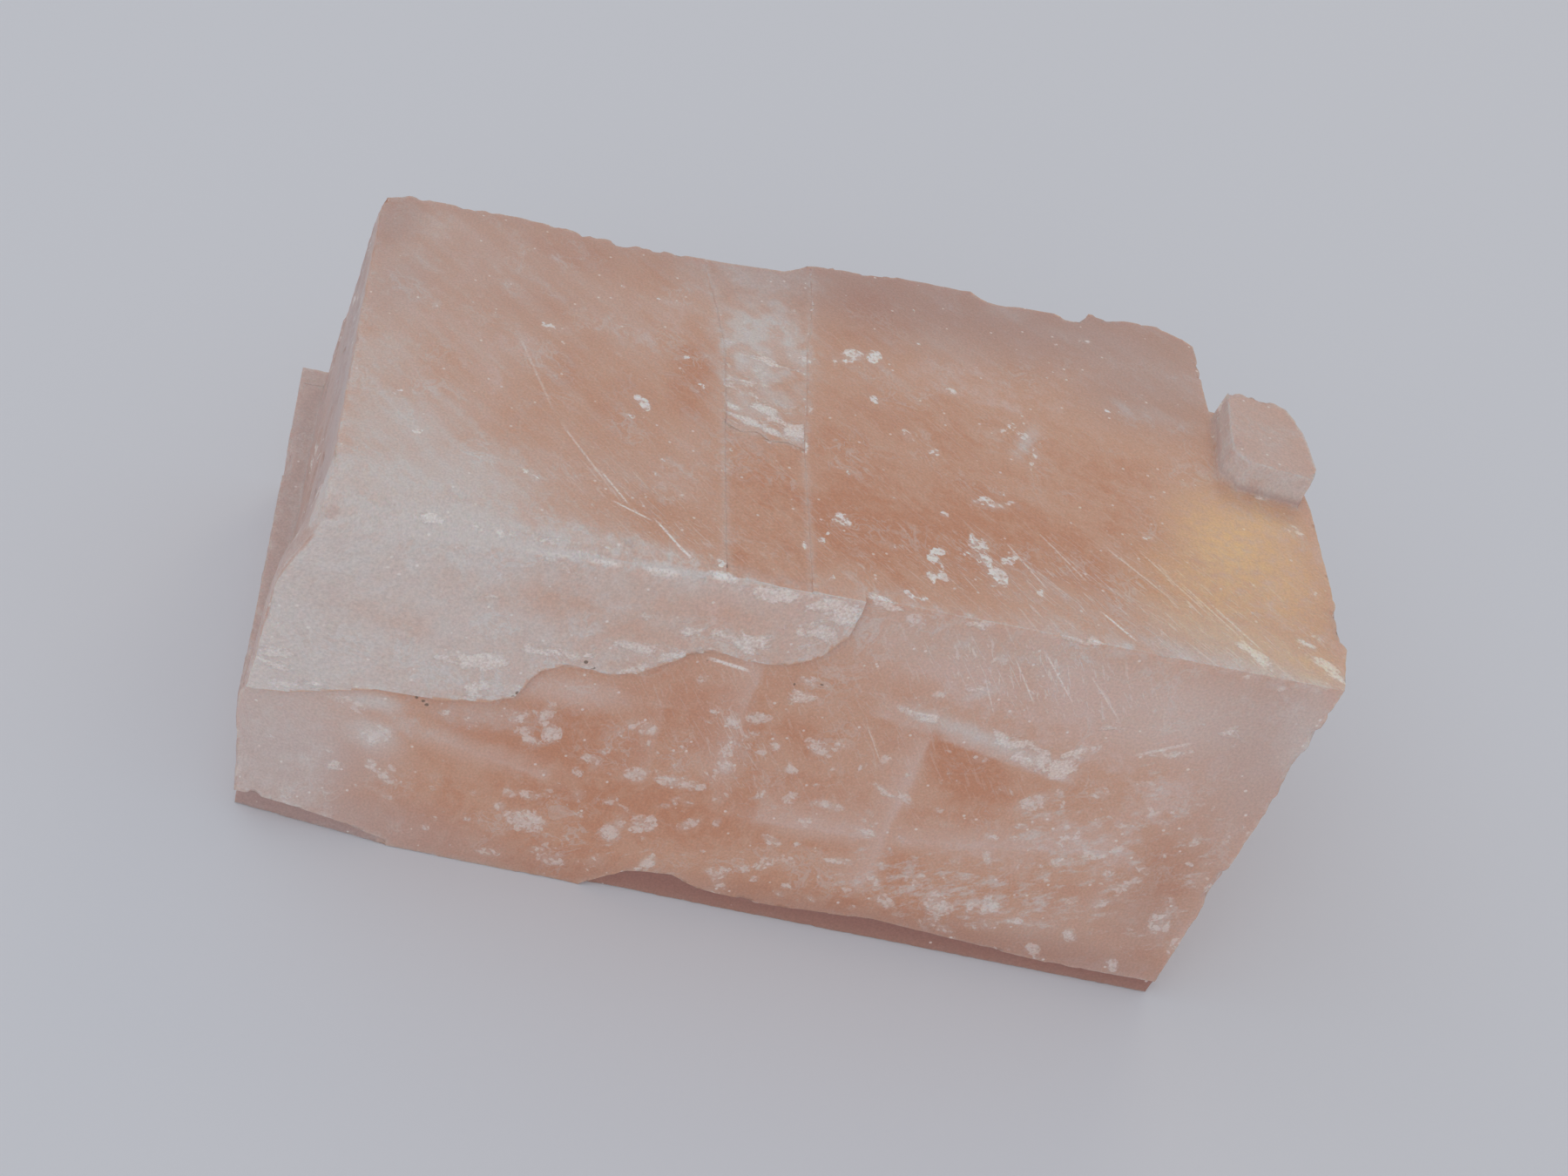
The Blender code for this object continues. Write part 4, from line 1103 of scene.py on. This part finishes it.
def rose_calcite(colours):
    """Cloudy rose calcite: veils and ember inside, frost, chalk and scratches on its faces, with a
    painted golden sheen and painted shade.
    """
    material = bpy.data.materials.new("rose calcite")
    material.use_nodes = True
    tree = material.node_tree
    shader = tree.nodes["Principled BSDF"]
    layers = add_node(tree, "ShaderNodeAttribute", attribute_name="layers").outputs["Vector"]
    fleck, frost, veil, ember = read_marks(tree, "inside")
    painted_gold_sheen, umber_and_shade, scratched, streaked = read_marks(tree, "sheen_shade_and_scratches")
    crush, dirt, dull_and_shaded, dashed = read_marks(tree, "other")
    up, front, edge, step = read_marks(tree, "sides")

    # The layer coordinates are bent a little, so that clouds curl as they do in a grown crystal.
    bend = cloud(tree, layers, 0.33, 2.0, 0.5, output=1)
    bend = vector_math(tree, "SUBTRACT", i0=bend, i1=(0.5, 0.5, 0.5))
    bent = vector_math(tree, "MULTIPLY_ADD", i0=bend, i1=(4.0, 4.0, 4.0), i2=layers)

    def drawn_out(vector, turn, size, detail, roughness):
        return cloud(tree, stretched(tree, vector, turn, size), 1.0, detail, roughness)

    wide = cloud(tree, bent, 0.12, 2.0, 0.5)
    mid = drawn_out(bent, CLOUD_TURN, (3.4, 1.9, 2.2), 4.0, 0.6)
    mottle = cloud(tree, layers, 1.5, 5.0, 0.68)
    grain = cloud(tree, layers, 7.5, 3.0, 0.6)

    # Inside: from pale peach through rose to ember.
    depth = weighed(tree, wide, 0.7, -0.72)
    for part, weight in ((mid, 0.9), (mottle, 0.9), (ember, 0.65), (veil, -0.3)):
        depth = weighed(tree, part, weight, depth)
    colour = mixed(tree, rise(tree, depth, 0.15, 0.65), colours.peach, colours.rose)
    colour = mixed(tree, rise(tree, depth, 0.6, 1.15), colour, colours.ember)
    colour = mixed(tree, times(tree, veil, 0.9), colour, colours.peach)

    # On the faces: frost that thins out in clouds and wisps, duller on the broken ends and painted darker
    # where shade falls on the left end.
    wisps = place_group(tree, wisp_group(), i0=bent, i1=1.0)[0]
    veils = weighed(tree, mottle, 1.1, -0.55)
    veils = weighed(tree, mid, 0.7, reckon(tree, "ADD", veils, -0.45))
    brushed = drawn_out(layers, UPPER_BRUSH, (7.0, 1.1, 1.2), 4.0, 0.6)
    brushed = times(tree, reckon(tree, "SUBTRACT", brushed, 0.5), up)
    veils = weighed(tree, brushed, 0.9, veils)
    veils = weighed(tree, veils, weighed(tree, frost, -0.45, 1.0), frost)
    veils = weighed(tree, wisps, 0.35, rise(tree, veils, -0.05, 1.0), clamp=True)
    # Frost along the outer edges: partly wear, partly a painted highlight along them.
    rim = times(tree, edge, rise(tree, mottle, 0.40, 0.62))
    veils = weighed(tree, rim, 0.25, veils, clamp=True)
    # The painted golden sheen, a reflection of warm light laid into the colour; the same mask also sets
    # the coat's real gloss.
    gloss_and_painted_sheen = times(tree, painted_gold_sheen, rise(tree, mottle, 0.15, 0.75))
    colour = mixed(tree, dull_and_shaded, colour, colours.mauve_and_shade)
    colour = mixed(tree, veils, colour, colours.frost)
    colour = mixed(tree, umber_and_shade, colour, colours.umber_and_shade)
    colour = mixed(tree, times(tree, gloss_and_painted_sheen, 0.9), colour, colours.painted_gold_sheen)

    # Fine scratches, and the small pale dashes of the front face.
    # Chalk takes the painted golden sheen's tint where the sheen lies, for the flecks and scratches
    # there.
    white = mixed(tree, times(tree, painted_gold_sheen, 0.6), colours.chalk, colours.painted_gold_sheen)
    scratches = scratch_group()
    on_top = place_group(tree, scratches, i0=layers, i1=UPPER_BRUSH, i2=scratched)[0]
    on_front = place_group(tree, scratches, i0=layers, i1=FRONT_BRUSH, i2=streaked)[0]
    lines = greatest(tree, on_top, on_front)
    colour = mixed(tree, times(tree, lines, 0.42), colour, white)
    dashes = drawn_out(layers, (0.0, 0.5, 0.0), (1.25, 0.75, 0.6), 5.0, 0.72)
    dashes = rise(tree, weighed(tree, dashed, 0.3, dashes), 0.69, 0.86)
    colour = mixed(tree, times(tree, dashes, 0.62), colour, colours.frost)

    # Crushed places: ragged streaks of chalk, angular flecks and single scratches.
    streaky = drawn_out(bent, (0.0, 0.0, -0.15), (2.4, 0.8, 0.9), 6.0, 0.62)
    crushed = rise(tree, weighed(tree, crush, 0.34, streaky), 0.66, 0.78)
    crushed = times(tree, crushed, rise(tree, crush, 0.02, 0.3))
    powder = times(tree, crushed, weighed(tree, grain, 1.5, -0.22, clamp=True))
    powder = times(tree, powder, weighed(tree, front, -0.25, 1.0))
    colour = mixed(tree, powder, colour, colours.chalk)
    flecks, halo = place_group(tree, fleck_group(), i0=layers, i1=fleck)
    colour = mixed(tree, times(tree, halo, 0.4), colour, colours.frost)
    # Flecks on upward faces are painted whiter, standing in for their highlights.
    fleck_whiteness_lit_from_above = weighed(tree, up, 0.58, 0.42)
    colour = mixed(tree, times(tree, flecks, fleck_whiteness_lit_from_above), colour, white)
    longest = times(tree, single_scratches(tree, layers), rise(tree, grain, 0.3, 0.5))
    colour = mixed(tree, longest, colour, white)

    # Tiny white specks that are partly painted glints, specks of dirt, painted light along the seams and
    # a fine grain over everything.
    away, chances = cells(tree, layers, 1.5)
    chosen = rise(tree, parts_of(tree, chances)[0], 0.70, 0.72)
    specks_and_glints = times(tree, rise(tree, away, 0.16, 0.08), chosen)
    colour = mixed(tree, times(tree, specks_and_glints, 0.55), colour, colours.chalk)
    away, _ = cells(tree, layers, 2.4)
    spots = rise(tree, away, 0.33, 0.22)
    spots = times(tree, spots, rise(tree, dirt, 0.12, 0.3))
    colour = mixed(tree, times(tree, spots, 0.8), colour, colours.dirt)
    # Painted light along the inner seams, lifting the shade their corners catch.
    lit = times(tree, step, weighed(tree, mottle, 0.36, -0.02))
    colour = mixed(tree, lit, colour, colours.frost)
    shade = weighed(tree, grain, 0.52, 0.74)
    colour = mixed(tree, 1.0, colour, shade, "MULTIPLY")
    tree.links.new(colour, shader.inputs["Base Color"])

    rough = weighed(tree, veils, 0.22, 0.33)
    rough = weighed(tree, crushed, 0.2, rough)
    rough = weighed(tree, mottle, 0.12, rough)
    tree.links.new(rough, shader.inputs["Roughness"])
    height = 0.0
    for part, weight in (
        (mottle, 0.35), (grain, 0.12), (flecks, 0.35), (crushed, 0.5), (lines, -0.25)
    ):
        height = weighed(tree, part, weight, height)
    bump = add_node(tree, "ShaderNodeBump")
    set_inputs(bump, {"Strength": 0.6, "Distance": 0.12 * MM})
    tree.links.new(height, bump.inputs["Height"])
    tree.links.new(bump.outputs[0], shader.inputs["Normal"])
    tree.links.new(gloss_and_painted_sheen, shader.inputs["Coat Weight"])
    shader.inputs["Coat Roughness"].default_value = 0.32
    shader.inputs["Coat Tint"].default_value = (1.0, 0.88, 0.68, 1.0)
    shader.inputs["Metallic"].default_value = 0.0
    shader.inputs["IOR"].default_value = 1.55
    shader.inputs["Subsurface Weight"].default_value = 0.3
    shader.inputs["Subsurface Radius"].default_value = (1.0, 0.45, 0.28)
    shader.inputs["Subsurface Scale"].default_value = 0.8 * MM
    lay_out(tree)
    return material


# ---------------------------------------------------------------- the stage


def new_object(scene, name, data):
    """Puts an object with this data in the scene."""
    made = bpy.data.objects.new(name, data)
    scene.collection.objects.link(made)
    return made


def add_paper(scene, settings):
    """A wide sheet of matt paper just under the crystal."""
    sheet = bmesh.new()
    bmesh.ops.create_grid(sheet, x_segments=1, y_segments=1, size=2.5)
    bmesh.ops.translate(sheet, verts=sheet.verts, vec=(0.0, 0.0, -0.02 * MM))
    mesh = bpy.data.meshes.new("paper")
    sheet.to_mesh(mesh)
    sheet.free()
    paper = new_object(scene, "paper", mesh)
    material = bpy.data.materials.new("matt paper")
    material.use_nodes = True
    shader = material.node_tree.nodes["Principled BSDF"]
    shader.inputs["Base Color"].default_value = opaque(settings.paper)
    shader.inputs["Roughness"].default_value = 0.95
    shader.inputs["Specular IOR Level"].default_value = 0.1
    mesh.materials.append(material)


def aim(place, target):
    """The matrix of a light at one place that shines at another."""
    turn = (Vector(target) - Vector(place)).to_track_quat("-Z", "Y")
    return Matrix.Translation(place) @ turn.to_matrix().to_4x4()


def add_lights(scene, settings):
    """Even light from all round, a large window at the back left, a fill and a small warm card."""
    world = bpy.data.worlds.new("soft room")
    world.use_nodes = True
    backdrop = world.node_tree.nodes["Background"]
    set_inputs(backdrop, {"Color": (0.93, 0.95, 1.0, 1.0), "Strength": settings.sky})
    scene.world = world
    # Each light: its place and size in metres, its power in watts and its colour.
    for name, place, size, power, colour in (
        ("window", (-0.75, 0.55, 0.95), 0.9, settings.window, (0.95, 0.97, 1.0)),
        ("front_fill", (-0.25, -1.0, 0.55), 1.2, settings.fill, (0.97, 0.98, 1.0)),
        ("warm_card", (0.155, 0.42, 0.36), 0.16, 0.12, (1.0, 0.78, 0.48)),
    ):
        light = bpy.data.lights.new(name, "AREA")
        light.size = size
        light.energy = power
        light.color = colour
        new_object(scene, name, light).matrix_world = aim(place, LIT_SPOT)


def add_camera(scene, settings):
    """The camera looks down at the ridge from the front."""
    lens = bpy.data.cameras.new("camera")
    lens.sensor_width = 36.0
    lens.lens = settings.lens
    lens.clip_start = 0.005
    turn = Matrix((CAMERA_RIGHT, CAMERA_UP, CAMERA_RIGHT.cross(CAMERA_UP))).transposed().to_4x4()
    camera = new_object(scene, "camera", lens)
    camera.matrix_world = Matrix.Translation(CAMERA_PLACE * MM) @ turn
    scene.camera = camera
    scene.view_settings.view_transform = "Standard"


# ---------------------------------------------------------------- operators


class CALCITE_OT_crystal(bpy.types.Operator):
    """Builds the calcite rhomb, with its worn edges, raised flecks and cloudy colour"""

    bl_idname = "calcite.crystal"
    bl_label = "Crystal"

    def execute(self, context):
        sizes = context.scene.calcite_sizes
        rhomb = merged_rhomb()
        cut_into_layers(rhomb, sizes.mesh_step)
        refine_shown_faces(rhomb)
        surface = RhombSurface(rhomb)
        marks = paint_marks(surface)
        shape_surface(surface, marks, sizes)
        mesh = bpy.data.meshes.new("calcite_rhomb")
        rhomb.to_mesh(mesh)
        rhomb.free()
        mesh.shade_smooth()
        mesh.set_sharp_from_angle(angle=radians(32.0))
        keep_places(mesh, surface)
        for name, values in zip(("inside", "sheen_shade_and_scratches", "other"), marks):
            keep_on_mesh(mesh, name, values)
        mesh.materials.append(rose_calcite(context.scene.calcite_colours))
        crystal = new_object(context.scene, "calcite_rhomb", mesh)
        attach(crystal, "root")
        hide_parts(NODE)
        return {"FINISHED"}


class CALCITE_OT_stage(bpy.types.Operator):
    """Adds the pale paper, the soft light and the camera"""

    bl_idname = "calcite.stage"
    bl_label = "Paper, Light and Camera"

    def execute(self, context):
        settings = context.scene.calcite_stage
        add_paper(context.scene, settings)
        add_lights(context.scene, settings)
        add_camera(context.scene, settings)
        return {"FINISHED"}


class CALCITE_PT_panel(bpy.types.Panel):
    """Lists the operators with their settings"""

    bl_label = "Calcite Specimen"
    bl_idname = "CALCITE_PT_panel"
    bl_space_type = "VIEW_3D"
    bl_region_type = "UI"
    bl_category = "Calcite"

    def draw(self, context):
        scene = context.scene
        for operator, groups in (
            ("calcite.crystal", (scene.calcite_sizes, scene.calcite_colours)),
            ("calcite.stage", (scene.calcite_stage,)),
        ):
            box = self.layout.box()
            box.operator(operator)
            for group in groups:
                for name in group.bl_rna.properties.keys():
                    if name not in ("rna_type", "name"):
                        box.prop(group, name)


SETTINGS = {
    "calcite_sizes": CalciteSizes,
    "calcite_colours": CalciteColours,
    "calcite_stage": StageSettings,
}
CLASSES = (*SETTINGS.values(), CALCITE_OT_crystal, CALCITE_OT_stage, CALCITE_PT_panel)


def register():
    for kind in CLASSES:
        bpy.utils.register_class(kind)
    for name, kind in SETTINGS.items():
        setattr(bpy.types.Scene, name, PointerProperty(type=kind))


def unregister():
    for name in SETTINGS:
        delattr(bpy.types.Scene, name)
    for kind in reversed(CLASSES):
        bpy.utils.unregister_class(kind)


def main():
    """Builds everything."""
    register()
    bpy.ops.calcite.crystal()
    bpy.ops.calcite.stage()


if __name__ == "__main__":
    main()
